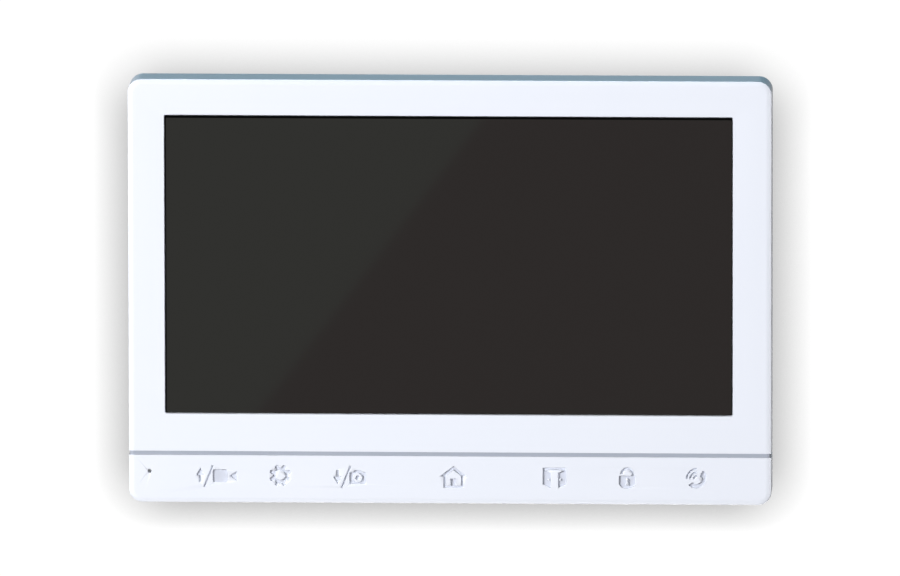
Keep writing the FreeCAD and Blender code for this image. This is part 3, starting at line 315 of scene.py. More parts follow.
@dataclass(frozen=True)
class SolderMask:
    """Circuit board: glossy mask over copper tracks that show as a paler net."""

    name: str
    mask: str
    track: str
    pitch: float
    track_height: float = 0.02
    roughness: float = 0.28
    ior: float = 1.5

    def material(self) -> Material:
        """Makes the material.

        Returns:
            Mask with a net of right-angled tracks at the given pitch, a little proud of it.
        """
        material, tree, shader = fresh_material(self.name)
        place = add_node(tree, "ShaderNodeTexCoord").outputs["Object"]
        flat = add_node(tree, "ShaderNodeMapping", {"Scale": (1.0, 0.0, 1.0)}, {"Vector": place}).outputs[0]
        cells = {"distance": "CHEBYCHEV", "feature": "F1", "Scale": per_mm(self.pitch)}
        net = add_node(tree, "ShaderNodeTexVoronoi", cells, {"Vector": flat}).outputs["Distance"]
        lines = add_node(tree, "ShaderNodeMath", {"operation": "PINGPONG", "1": 0.12}, {"0": net}).outputs[0]
        edge = {"From Min": 0.07, "From Max": 0.085}
        track = add_node(tree, "ShaderNodeMapRange", edge, {"Value": lines}).outputs["Result"]
        tones = {"data_type": "RGBA", "6": linear(self.mask), "7": linear(self.track)}
        colour = add_node(tree, "ShaderNodeMix", tones, {"0": track})
        relief = {"Strength": 1.0, "Distance": self.track_height * MM}
        bump = add_node(tree, "ShaderNodeBump", relief, {"Height": track})
        set_shader(
            shader,
            base_color=colour.outputs[2],
            normal=bump.outputs["Normal"],
            roughness=self.roughness,
            ior=self.ior,
        )
        return material


@dataclass(frozen=True)
class Cellular:
    """Foam or pressed fibre: matt, with cells or fibres of one size."""

    name: str
    colour: str
    shade: str
    cell: float
    depth: float = 0.05
    sheen: float = 0.0
    roughness: float = 0.85

    def material(self) -> Material:
        """Makes the material.

        Returns:
            Matt material pitted by cells, the pits painted darker as shade.
        """
        material, tree, shader = fresh_material(self.name)
        place = add_node(tree, "ShaderNodeTexCoord").outputs["Object"]
        cells = add_node(tree, "ShaderNodeTexVoronoi", {"Scale": per_mm(self.cell)}, {"Vector": place})
        height = cells.outputs["Distance"]
        # The darker tone sits in the pits: painted shade.
        tones = {"data_type": "RGBA", "6": linear(self.shade), "7": linear(self.colour)}
        colour = add_node(tree, "ShaderNodeMix", tones, {"0": height})
        relief = {"Strength": 0.8, "Distance": self.depth * MM}
        bump = add_node(tree, "ShaderNodeBump", relief, {"Height": height})
        set_shader(
            shader,
            base_color=colour.outputs[2],
            normal=bump.outputs["Normal"],
            roughness=self.roughness,
            sheen_weight=self.sheen,
        )
        return material


@dataclass(frozen=True)
class WoundOrWoven:
    """Threads or turns laid side by side: voice coil wire, or the crossed threads of a dust cloth."""

    name: str
    colour: str
    gap: str
    pitch: float
    metallic: float
    roughness: float
    crossed: bool
    depth: float = 0.05

    def bands(self, tree: Tree, place: Socket, axis: str) -> Socket:
        """Adds one set of parallel threads.

        Args:
            tree: the material's tree.
            place: Object coordinates.
            axis: the axis that the threads are counted along, X, Y or Z.

        Returns:
            The height of the threads.
        """
        # A wave texture's period is a tenth of 2 pi of its scale's unit.
        threads = {"bands_direction": axis, "Scale": per_mm(self.pitch) * math.pi / 10}
        return add_node(tree, "ShaderNodeTexWave", threads, {"Vector": place}).outputs["Fac"]

    def material(self) -> Material:
        """Makes the material.

        Returns:
            Threads with dark gaps between them; on wound wire the dark troughs are painted shade.
        """
        material, tree, shader = fresh_material(self.name)
        place = add_node(tree, "ShaderNodeTexCoord").outputs["Object"]
        height = self.bands(tree, place, "X" if self.crossed else "Y")
        if self.crossed:
            both = {"0": height, "1": self.bands(tree, place, "Z")}
            height = add_node(tree, "ShaderNodeMath", {"operation": "MAXIMUM"}, both).outputs[0]
        tones = {"data_type": "RGBA", "6": linear(self.gap), "7": linear(self.colour)}
        colour = add_node(tree, "ShaderNodeMix", tones, {"0": height})
        relief = {"Strength": 0.7, "Distance": self.depth * MM}
        bump = add_node(tree, "ShaderNodeBump", relief, {"Height": height})
        set_shader(
            shader,
            base_color=colour.outputs[2],
            normal=bump.outputs["Normal"],
            roughness=self.roughness,
            metallic=self.metallic,
        )
        return material


# Moulded ABS, polished tool: cool white with a soft sheen, and no grain that the eye can find.
CASE_WHITE = MouldedPlastic("abs_white_polished", "f1f3f8", "eef1f7", 0.30, grain=0.25, grain_depth=0.0008)
# Moulded ABS, spark-eroded tool: the same white, duller, with a fine texture in raking light.
COVER_WHITE = MouldedPlastic("abs_white_textured", "eceef2", "e7e9ee", 0.48, grain=0.45, grain_depth=0.012)
# Sprayed ABS: an even grey line with the sheen of paint.
TRIM_GREY = MouldedPlastic("abs_grey_painted", "a9aeb8", "a2a8b3", 0.38, grain=0.3, grain_depth=0.001)
# Moulded polycarbonate with a diffusing filler: milky grey, a step darker than the case.
INLAY_GREY = MouldedPlastic("polycarbonate_milky", "d0d4dd", "cacdd7", 0.42, ior=1.58, grain=0.3)
# Cast acrylic, ink behind it: black with a clean mirror.
LENS_BLACK = PolishedAcrylic("acrylic_black_printed", "030303")
# Screen-printed matt ink round the lens: a printed rim, drawn wider at the top and left as painted shadow of
# the pocket's edge.
SHADOW_INK_RIM = MouldedPlastic("ink_matt_black_painted_shadow", "020202", "040404", 0.9, ior=1.1, grain=0.2, grain_depth=0.001)
# Polarising film on glass: near-black and slightly hazed.
SCREEN_GLASS = PolishedAcrylic("polariser_dark", "101216", ior=1.52, roughness=0.06)
# Extruded acrylic with diffuser films: white that light sinks into.
GUIDE_FILM = MouldedPlastic("acrylic_diffuser", "dfe3e6", "d6dade", 0.35, ior=1.49, scatter=0.3)
# Moulded white polycarbonate: plain, a little warm.
FRAME_WHITE = MouldedPlastic("polycarbonate_white", "e9e9e4", "e2e2dc", 0.5, ior=1.58)
# Moulded nylon, uncoloured: the cream of connector shrouds.
NYLON_CREAM = MouldedPlastic("nylon_natural", "e6e0cd", "dcd5c0", 0.42)
# Transfer-moulded epoxy: dull black chip packages.
EPOXY_BLACK = MouldedPlastic("epoxy_black", "191919", "222222", 0.5, grain=0.2, grain_depth=0.006)
# Sintered ferrite: dark grey and rough.
FERRITE = MouldedPlastic("ferrite_sintered", "2b2b2d", "353538", 0.62, grain=0.3, grain_depth=0.015)
# Fired ceramic: tan chip capacitors.
CERAMIC_TAN = MouldedPlastic("ceramic_fired", "9b8468", "857157", 0.4, grain=0.4)
# Moulded black polycarbonate: a card's smooth dark shell.
CARD_BLACK = MouldedPlastic("polycarbonate_black", "15161a", "1b1c20", 0.36, ior=1.58)
# Moulded acetal: white with a waxy sheen.
LEVER_WHITE = MouldedPlastic("acetal_white", "e4e4e2", "dcdcda", 0.4, ior=1.48)
# Cast resin with phosphor: glossy yellow lamps.
LAMP_RESIN = MouldedPlastic("phosphor_resin", "efe08a", "e6d26a", 0.25, scatter=0.3)
# Laminated polyester ribbon: smooth white.
RIBBON_WHITE = MouldedPlastic("polyester_ribbon", "e8e8e4", "dedfda", 0.35)
# Polyimide film over copper: glossy amber.
FLEX_AMBER = MouldedPlastic("polyimide_flex", "b8741c", "a06016", 0.3, ior=1.7)
# Moulded silicone: dull, soft-looking black.
RUBBER_BLACK = MouldedPlastic(
    "silicone_black", "141414", "1c1c1c", 0.7, ior=1.41, grain=0.5, grain_depth=0.01
)
# Extruded PVC: smooth red and black wire insulation.
LEAD_RED = MouldedPlastic("pvc_red", "9c1b16", "871310", 0.42)
LEAD_BLACK = MouldedPlastic("pvc_black", "17171a", "202023", 0.42)
# Metallised polyester label: pale silver, almost smooth.
LABEL_SILVER = MouldedPlastic("polyester_silver", "cdd0d4", "c4c8cc", 0.3, grain=0.2, grain_depth=0.001)
# Foams and pressed paper: matt and dark, pitted by cells or fibres, with painted shade in the pits.
TAPE_BLACK = Cellular("acrylic_foam_tape", "1d1d1d", "101010", 0.3)
FOAM_BLACK = Cellular("polyurethane_foam", "1f1f20", "0d0d0d", 0.5, 0.12)
CONE_PAPER = Cellular("pressed_paper_dark", "26221f", "171412", 0.35, 0.04, 0.2)
# Woven polyester: a black cloth with an open weave. Its threads are drawn as coarse as they need to show.
CLOTH_BLACK = WoundOrWoven("woven_dust_cloth", "262628", "0a0a0a", 0.5, 0.0, 0.9, True)
# Wound enamelled wire: copper rings, the lines between the turns painted dark as shade.
COPPER_WIRE = WoundOrWoven("copper_wire_enamelled", "c8703c", "4a2412", 0.16, 1.0, 0.3, False)
# Hot-dip galvanised sheet: zinc crystals of about 2 mm that each mirror a little differently.
GALVANISED = Metal("steel_galvanised", "c3c7ca", "b6babe", 0.36, Working.SPANGLED, 2.2)
# Rolled bright steel: fine lines along the sheet.
STEEL_BRUSHED = Metal("steel_brushed", "c9cacc", "b6b8bb", 0.28, Working.BRUSHED, 0.25)
# Zinc-plated screws: grey-silver with a soft mottle.
ZINC_PLATED = Metal("steel_zinc_plated", "b9bbc0", "a3a6ac", 0.32, Working.PLATED, 0.8)
# Drawn aluminium cans: pale, with fine drawing lines.
CAN_ALUMINIUM = Metal("aluminium_drawn", "d4d6d8", "c4c6c9", 0.26, Working.BRUSHED, 0.3)
# Tinned brass pins: bright with a yellow tinge.
TINNED_BRASS = Metal("brass_tinned", "cdb878", "bda866", 0.25, Working.PLATED, 0.4)
# Nickel-plated cell: a warm, even mirror.
CELL_NICKEL = Metal("nickel_plated", "cfcfca", "bfc0bc", 0.18, Working.PLATED, 1.5)
# Phosphated steel: dark grey and dull.
MAGNET_GREY = Metal("steel_phosphated", "4a4b4f", "3c3d41", 0.55, Working.PLATED, 0.6)
# Solder mask over etched copper: glossy green with a paler net of tracks.
BOARD_GREEN = SolderMask("solder_mask_green", "0f5a2c", "1c7a40", 5.0)


class Wardrobe:
    """Makes each finish once and puts it on pieces."""

    def __init__(self) -> None:
        """Starts with nothing made."""
        self.made: dict[str, Material] = {}

    def of(self, finish: object) -> Material:
        """The material of a finish.

        Args:
            finish: one of the finishes above.

        Returns:
            Its material, made on first use.
        """
        if finish.name not in self.made:
            self.made[finish.name] = finish.material()
        return self.made[finish.name]

    def dress(self, piece: Piece, finish: object) -> Piece:
        """Puts one finish all over a piece.

        Args:
            piece: a mesh object.
            finish: one of the finishes above.

        Returns:
            The piece.
        """
        if piece.data.materials:
            piece.data.materials.clear()
        piece.data.materials.append(self.of(finish))
        return piece


WARDROBE = Wardrobe()


# ---- mesh helpers -------------------------------------------------------------------------
def slab(low: Iterable[float], high: Iterable[float]) -> Mesh:
    """A block between two corners.

    Args:
        low: lowest corner, millimetres.
        high: highest corner, millimetres.

    Returns:
        A new bmesh that holds the block.
    """
    low, high = Vector(low), Vector(high)
    bm = bmesh.new()
    middle, size = (low + high) / 2, high - low
    matrix = Matrix.Translation(middle) @ Matrix.Diagonal((*size, 1.0))
    bmesh.ops.create_cube(bm, size=1.0, matrix=matrix)
    return bm


def disc(centre: Vector, radius: float, segments: int) -> Mesh:
    """A flat disc that faces the front.

    Args:
        centre: its middle.
        radius: its radius.
        segments: how many edges its rim has.

    Returns:
        A new bmesh with the disc's one face.
    """
    bm = bmesh.new()
    matrix = Matrix.Translation(centre) @ Matrix.Rotation(math.radians(90), 4, "X")
    bmesh.ops.create_circle(bm, cap_ends=True, radius=radius, segments=segments, matrix=matrix)
    return bm


def parallel_edges(bm: Mesh, axis: int) -> list[Edge]:
    """Edges that run along one axis."""
    others = [k for k in range(3) if k != axis]
    return [e for e in bm.edges if all(abs(e.verts[0].co[k] - e.verts[1].co[k]) < 1e-5 for k in others)]


def rim_edges(bm: Mesh, axis: int, value: float) -> list[Edge]:
    """Edges that lie in one plane and border a face outside it.

    Args:
        bm: the mesh.
        axis: the plane's axis.
        value: the plane's place along it.

    Returns:
        The rim's edges.
    """
    def level(vert: Vert) -> bool:
        return abs(vert.co[axis] - value) < 1e-4

    return [
        e
        for e in bm.edges
        if all(level(v) for v in e.verts) and any(not all(level(v) for v in f.verts) for f in e.link_faces)
    ]


def round_off(
    bm: Mesh, edges: list[Edge], radius: float, segments: int, clamp: bool = True
) -> None:
    """Rounds edges to a radius, smaller where there is no room if clamp is set."""
    bmesh.ops.bevel(
        bm, geom=edges, offset=radius, offset_type="OFFSET", affect="EDGES", segments=segments, profile=0.5,
        material=-1, clamp_overlap=clamp,
    )


def faces_in_plane(bm: Mesh, axis: int, value: float) -> list[Face]:
    """Faces that lie in one plane across an axis."""
    return [f for f in bm.faces if all(abs(v.co[axis] - value) < 1e-4 for v in f.verts)]


def remove_faces(bm: Mesh, faces: list[Face]) -> None:
    """Deletes faces and leaves the edges that others still use."""
    bmesh.ops.delete(bm, geom=faces, context="FACES")


def absorb(bm: Mesh, other: Mesh) -> None:
    """Adds another bmesh's geometry and frees that bmesh."""
    carrier = bpy.data.meshes.new("carrier")
    other.to_mesh(carrier)
    other.free()
    bm.from_mesh(carrier)
    bpy.data.meshes.remove(carrier)


def extrude(bm: Mesh, faces: list[Face], way: Iterable[float]) -> list[Face]:
    """Extrudes a region. Its old faces go where it borders on others, and stay as a cap where it does not.

    Args:
        bm: the mesh.
        faces: the region.
        way: how far its copy is moved, millimetres.

    Returns:
        The faces of the moved copy.
    """
    edges = {e for f in faces for e in f.edges}
    verts = {v for f in faces for v in f.verts}
    made = bmesh.ops.extrude_face_region(bm, geom=[*faces, *edges, *verts])
    moved = [g for g in made["geom"] if isinstance(g, Face)]
    shift(bm, moved, way)
    return moved


def shift(bm: Mesh, faces: Iterable[Face], way: Iterable[float]) -> None:
    """Moves faces."""
    bmesh.ops.translate(bm, verts=list({v for f in faces for v in f.verts}), vec=Vector(way))


def fill_plane(
    bm: Mesh, axis: int, value: float, outwards: Vector, keep: Callable[[Vector], bool] = lambda co: True
) -> None:
    """Closes the plane between open outlines, leaving the inner ones as holes.

    Args:
        bm: the mesh.
        axis: the plane's axis.
        value: its place along the axis.
        outwards: the way the new faces look.
        keep: picks the outlines, by a point of theirs.
    """
    open_edges = [
        e
        for e in bm.edges
        if e.is_boundary
        and all(abs(v.co[axis] - value) < 1e-4 for v in e.verts)
        and all(keep(v.co) for v in e.verts)
    ]
    made = bmesh.ops.triangle_fill(bm, edges=open_edges, use_beauty=True, normal=outwards)
    for face in [g for g in made["geom"] if isinstance(g, Face)]:
        face.normal_update()
        if face.normal.dot(outwards) < 0:
            face.normal_flip()


def sink(
    bm: Mesh, faces: list[Face], slope: tuple[float, float], depth: float
) -> list[Face]:
    """Turns part of a flat front into a pocket with a sloped mouth.

    Args:
        bm: the mesh.
        faces: the pocket's outline, filled, within the front.
        slope: width and depth of the slope round the mouth, outside the outline.
        depth: how far the floor lies behind the front.

    Returns:
        The floor's faces.
    """
    bmesh.ops.inset_region(bm, faces=faces, use_even_offset=True, thickness=slope[0], use_outset=True)
    shift(bm, faces, (0, slope[1], 0))
    return extrude(bm, faces, (0, depth - slope[1], 0))


def tube(low: Vector, outer: float, bore: float, length: float, segments: int = 32) -> Mesh:
    """A post that stands along +Y with a blind bore in its far end.

    Args:
        low: middle of its near end.
        outer: outer radius.
        bore: radius of the bore.
        length: how far it reaches.
        segments: edges round the rim.

    Returns:
        A new bmesh that holds the post.
    """
    bm = disc(low, outer, segments)
    top = extrude(bm, list(bm.faces), (0, length, 0))
    bmesh.ops.inset_region(bm, faces=top, thickness=outer - bore)
    extrude(bm, top, (0, 1.0 - length, 0))
    bmesh.ops.recalc_face_normals(bm, faces=bm.faces)
    return bm


def smooth_by_area(piece: Piece, angle: float = 32.0) -> None:
    """Shades a piece smooth between faces that meet at less than an angle, and keeps flats flat.

    Args:
        piece: a mesh object.
        angle: degrees above which an edge stays sharp.
    """
    piece.data.shade_smooth()
    piece.data.set_sharp_from_angle(angle=math.radians(angle))
    weighted = piece.modifiers.new("flat_faces", "WEIGHTED_NORMAL")
    weighted.keep_sharp = True
    weighted.weight = 100


def finish_piece(
    bm: Mesh, name: str, body: str, finish: object, replaces: Iterable[str] = ()
) -> Piece:
    """Makes the piece: millimetres to metres, smooth shading, finish, body and the nodes it stands for.

    Args:
        bm: the shape in millimetres; it is freed.
        name: the piece's name.
        body: the CAD body it rides on.
        finish: what it is made of.
        replaces: CAD nodes that it stands for.

    Returns:
        The piece, at the origin.
    """
    bmesh.ops.scale(bm, vec=(MM, MM, MM), verts=bm.verts)
    mesh = bpy.data.meshes.new(name)
    bm.to_mesh(mesh)
    bm.free()
    piece = bpy.data.objects.new(name, mesh)
    bpy.context.scene.collection.objects.link(piece)
    smooth_by_area(piece)
    WARDROBE.dress(piece, finish)
    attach(piece, body)
    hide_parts(*replaces)
    LOG.info("%s: %d faces", name, len(mesh.polygons))
    return piece


def copy_of_node(node: str) -> Mesh:
    """A merged copy of a CAD node in millimetres, with its flat faces joined.

    Args:
        node: name of the node.

    Returns:
        A new bmesh.
    """
    bm = bmesh.new()
    bm.from_mesh(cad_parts[node].data)
    bmesh.ops.scale(bm, vec=(1 / MM, 1 / MM, 1 / MM), verts=bm.verts)
    bmesh.ops.remove_doubles(bm, verts=bm.verts, dist=0.0005)
    bmesh.ops.dissolve_degenerate(bm, dist=0.0005, edges=bm.edges)
    bmesh.ops.dissolve_limit(bm, angle_limit=math.radians(0.5), verts=bm.verts, edges=bm.edges)
    return bm


def eased_copy(node: str, radius: float, segments: int = 2, angle: float = 35.0) -> Mesh:
    """A copy of a CAD node with its sharp edges eased.

    Args:
        node: name of the node.
        radius: radius of the eased edges, millimetres.
        segments: steps across each edge.
        angle: edges that turn more than this many degrees are eased.

    Returns:
        A new bmesh.
    """
    bm = copy_of_node(node)
    sharp = [e for e in bm.edges if e.is_manifold and e.calc_face_angle(0.0) > math.radians(angle)]
    round_off(bm, sharp, radius, segments)
    return bm


# ---- front of the monitor -----------------------------------------------------------------
@dataclass(frozen=True)
class Handset:
    """Outline of the receiver on the talk key: a bow with a block at either end."""

    centre: tuple[float, float] = (72.62, -55.04)
    bow: tuple[float, float] = (3.15, 2.05)
    ear: tuple[tuple[float, float], ...] = ((1.75, 0.02), (1.38, 0.54), (2.17, 2.06), (3.05, 1.02))
    mouth: tuple[tuple[float, float], ...] = ((-1.0, -3.08), (-2.06, -2.2), (-0.9, -1.6), (-0.42, -1.9))
    ease: float = 0.16

    def solid(self, y: tuple[float, float]) -> Mesh:
        """The outline as a flat piece between two depths.

        Args:
            y: its front and back, millimetres.

        Returns:
            A new bmesh.
        """
        outer, inner = (
            [(radius * math.cos(a), radius * math.sin(a)) for a in map(math.radians, angles)]
            for radius, angles in zip(self.bow, (range(5, -100, -10), range(-90, -5, 10)))
        )
        points = [*self.ear, *outer, *self.mouth, *inner]
        bm = bmesh.new()
        face = bm.faces.new([bm.verts.new((self.centre[0] + x, y[0], self.centre[1] + z)) for x, z in points])
        mouth = len(self.ear) + len(outer)
        bmesh.ops.bevel(
            bm,
            geom=[face.verts[i] for i in (1, 2, 3, mouth, mouth + 1, mouth + 2)],
            offset=self.ease,
            affect="VERTICES",
            segments=3,
            profile=0.5,
            material=-1,
        )
        extrude(bm, list(bm.faces), (0, y[1] - y[0], 0))
        bmesh.ops.recalc_face_normals(bm, faces=bm.faces)
        return bm


def lumps(bm: Mesh) -> list[list[Vert]]:
    """The vertices of each separate lump of a mesh."""
    seen: set[Vert] = set()
    found = []
    for start in bm.verts:
        lump, waiting = [], [start]
        while waiting:
            vert = waiting.pop()
            if vert in seen:
                continue
            seen.add(vert)
            lump.append(vert)
            waiting.extend(e.other_vert(vert) for e in vert.link_edges)
        if lump:
            found.append(lump)
    return found


COG_SCALE = (1.08, 1, 1.08)
COG_SHIFT = (0.15, 0, 0.3)


def key_mark(node: str) -> Mesh:
    """A key's inlay as in its CAD node, but with the receiver drawn as a bow and the cog a little larger.

    Args:
        node: the inlay's CAD node.

    Returns:
        A new bmesh.
    """
    bm = copy_of_node(node)
    span = Span.of(node)
    if node == "icon_talk":
        lowest = [lump for lump in lumps(bm) if min(v.co.z for v in lump) < span.low.z + 1.0]
        bmesh.ops.delete(bm, geom=[v for lump in lowest for v in lump], context="VERTS")
        absorb(bm, Handset().solid((span.low.y, span.high.y)))
    elif node == "icon_settings":
        bmesh.ops.scale(bm, vec=COG_SCALE, verts=bm.verts, space=Matrix.Translation(-span.centre))
        bmesh.ops.translate(bm, verts=bm.verts, vec=COG_SHIFT)
    return bm


@dataclass
class FrontHousing:
    """White front shell with the window's ledge, the design line and the engraved keys."""

    corner: float = 4.0
    slope: float = 1.0
    slope_depth: float = 0.42
    slope_blend: float = 0.7
    crease: float = 0.2
    wall: float = 2.2
    plate: float = 2.4
    window_corner: float = 0.5
    window_gap: float = 0.2
    window_depth: float = 1.6
    ledge: tuple[float, float] = (159.0, 87.4)
    line_gap: float = 0.02
    line_depth: float = 0.9
    lip: float = 0.14
    key_depth: float = 1.0
    key_slope: tuple[float, float] = (0.14, 0.34)
    microphone_hole: float = 0.6
    window_slope: tuple[float, float] = (0.15, 0.15)
    hole_slope: tuple[float, float] = (0.1, 0.1)
    post_root: float = 0.5
    case_post: tuple[float, float] = (2.8, 1.3)
    case_screw_head: float = 2.3
    middle_post_z: float = 6.0
    bar_post: tuple[float, float] = (2.4, 1.0)
    bar_screw_head: float = 1.9
    rib_height: float = 4.0
    rib_gap: float = 0.3
    rib_thickness: float = 1.0
    rib_reach: float = 30.0

    def __post_init__(self) -> None:
        """Reads the shell's places from the frame."""
        self.box = Span.of("front_housing")
        self.front = self.box.low.y
        self.back = self.box.high.y
        trim = Span.of("trim_strip")
        self.line = (trim.low.z - self.line_gap, trim.high.z + self.line_gap)
        self.keys = sorted(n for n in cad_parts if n.startswith("icon_"))
        self.microphone = Span.of("microphone").centre

    def skin(self) -> Mesh:
        """Outer skin with its rounded corners and front edge, open at the back, and with the design line."""
        bm = slab(self.box.low, self.box.high)
        round_off(bm, parallel_edges(bm, 1), self.corner, 14)
        remove_faces(bm, faces_in_plane(bm, 1, self.back))
        front = faces_in_plane(bm, 1, self.front)
        ring = bmesh.ops.inset_region(bm, faces=front, thickness=self.slope, use_even_offset=True)["faces"]
        inner = {v for f in front for v in f.verts}
        outer = [v for v in {v for f in ring for v in f.verts} if v not in inner]
        bmesh.ops.translate(bm, verts=outer, vec=(0, self.slope_depth, 0))
        round_off(bm, rim_edges(bm, 1, self.front), self.slope_blend, 6)
        round_off(bm, rim_edges(bm, 1, self.front + self.slope_depth), self.crease, 3)
        for z in self.line:
            bmesh.ops.bisect_plane(
                bm, geom=[*bm.verts, *bm.edges, *bm.faces], dist=1e-4, plane_co=(0, 0, z), plane_no=(0, 0, 1)
            )
        band = [f for f in bm.faces if self.line[0] < f.calc_center_median().z < self.line[1]]
        inwards = {}
        bm.normal_update()
        for vert in {v for f in band for v in f.verts}:
            mean = sum((f.normal for f in vert.link_faces if f in band), Vector())
            inwards[vert.co.copy().freeze()] = -mean.normalized()
        for vert in {v for f in extrude(bm, band, (0, 0, 0)) for v in f.verts}:
            vert.co += inwards[vert.co.copy().freeze()] * self.line_depth
        remove_faces(bm, faces_in_plane(bm, 1, self.back))
        bm.normal_update()
        lips = [
            e
            for e in bm.edges
            if e.is_manifold
            and e.is_convex
            and any(all(abs(v.co.z - z) < 1e-4 for v in e.verts) for z in self.line)
            and e.calc_face_angle(0.0) > math.radians(60)
        ]
        round_off(bm, lips, self.lip, 2)
        return bm

    def inside(self) -> Mesh:
        """Inner skin, looking inwards, open at the back and in its front."""
        inset = Vector((self.wall, 0, self.wall))
        low, high = self.box.low + inset, self.box.high - inset
        low.y = self.front + self.plate
        bm = slab(low, high)
        round_off(bm, parallel_edges(bm, 1), self.corner - self.wall, 6)
        remove_faces(bm, faces_in_plane(bm, 1, self.back) + faces_in_plane(bm, 1, low.y))
        bmesh.ops.reverse_faces(bm, faces=bm.faces)
        return bm

    def window_outline(self) -> Mesh:
        """Flat outline of the lens's pocket."""
        lens = Span.of("window_lens")
        size = lens.size + Vector((self.window_gap, 0, self.window_gap)) * 2
        bm = bmesh.new()
        place = Matrix.Translation(Vector((lens.centre.x, self.front, lens.centre.z)))
        turn = Matrix.Rotation(math.radians(90), 4, "X")
        shape = place @ turn @ Matrix.Diagonal((size.x, size.z, 1, 1))
        bmesh.ops.create_grid(bm, x_segments=1, y_segments=1, size=0.5, matrix=shape)
        bmesh.ops.bevel(
            bm,
            geom=bm.verts,
            offset=self.window_corner,
            affect="VERTICES",
            segments=6,
            profile=0.5,
            material=-1,
        )
        return bm

    def key_outline(self, node: str) -> Mesh:
        """Flat outline of a key's engraving, which is its inlay's.

        Args:
            node: the inlay's CAD node.

        Returns:
            The outline, filled, on the front plane.
        """
        bm = key_mark(node)
        floor = Span.of(node).low.y
        flat = set(faces_in_plane(bm, 1, floor))
        remove_faces(bm, [f for f in bm.faces if f not in flat])
        bmesh.ops.translate(bm, verts=bm.verts, vec=(0, self.front - floor, 0))
        return bm

    def open_window(self, pocket: list[Face]) -> None:
        """Cuts the window's ledge and the opening in it.

        Args:
            pocket: the floor of the lens's pocket.
        """
        bm = self.mesh
        step = 0.3
        bmesh.ops.inset_region(bm, faces=pocket, thickness=step, use_even_offset=True)
        lens = Span.of("window_lens")
        ratio = (self.ledge[0] / (lens.size.x + 2 * self.window_gap - 2 * step), 1,
                 self.ledge[1] / (lens.size.z + 2 * self.window_gap - 2 * step))
        rim = list({v for f in pocket for v in f.verts})
        bmesh.ops.scale(bm, vec=ratio, verts=rim, space=Matrix.Translation(-lens.centre))
        remove_faces(bm, extrude(bm, pocket, (0, self.plate - self.window_depth, 0)))

    def posts(self) -> list[Mesh]:
        """Screw posts and locating ribs inside the shell."""
        root = self.front + self.plate - self.post_root
        made = []
        screws, head = Span.of("case_screws"), self.case_screw_head
        for x in (screws.low.x + head, screws.high.x - head):
            for z in (screws.high.z - head, self.middle_post_z, screws.low.z + head):
                made.append(tube(Vector((x, root, z)), *self.case_post, self.back - root))
        bars, head = Span.of("lcd_bracket_screws"), self.bar_screw_head
        bar_back = Span.of("lcd_brackets").low.y
        for x in (bars.low.x + head, bars.high.x - head):
            for z in (bars.low.z + head, bars.high.z - head):
                made.append(tube(Vector((x, root, z)), *self.bar_post, bar_back - root))
        display = Span.of("lcd_bezel")
        rib_back = display.low.y + self.rib_height
        for side in (-1, 1):
            near = display.centre.x + side * (display.size.x / 2 + self.rib_gap)
            low_x, high_x = sorted((near, near + side * self.rib_thickness))
            low = Vector((low_x, root, display.centre.z - self.rib_reach))
            high = Vector((high_x, rib_back, display.centre.z + self.rib_reach))
            made.append(slab(low, high))
        return made

    def build(self) -> Piece:
        """Builds the shell.

        Returns:
            The finished piece.
        """
        bm = self.mesh = self.skin()
        absorb(bm, self.inside())
        fill_plane(bm, 1, self.back, Vector((0, 1, 0)))
        remove_faces(bm, faces_in_plane(bm, 1, self.front))
        outlines = [self.window_outline()] + [self.key_outline(node) for node in self.keys]
        hole = Vector((self.microphone.x, self.front, self.microphone.z))
        outlines.append(disc(hole, self.microphone_hole, 32))
        known = []
        for outline in outlines:
            known.append([f.calc_center_median() for f in outline.faces])
            absorb(bm, outline)
        front = Vector((0, -1, 0))
        fill_plane(bm, 1, self.front, front, lambda co: co.z > self.line[1] - 1e-3)
        fill_plane(bm, 1, self.front, front, lambda co: co.z < self.line[0] + 1e-3)
        depths = [(self.window_slope, self.window_depth)]
        depths += [(self.key_slope, self.key_depth)] * len(self.keys)
        depths.append((self.hole_slope, self.plate))
        for middles, (slope, depth) in zip(known, depths):
            flat = [
                f
                for f in faces_in_plane(bm, 1, self.front)
                if any((f.calc_center_median() - m).length < 1e-4 for m in middles)
            ]
            floor = sink(bm, flat, slope, depth)
            if depth == self.window_depth:
                self.open_window(floor)
            elif depth == self.plate:
                remove_faces(bm, floor)
        fill_plane(bm, 1, self.front + self.plate, -front)
        for part in self.posts():
            absorb(bm, part)
        return finish_piece(
            bm, "front_shell", "monitor", CASE_WHITE, replaces=["front_housing"]
        )


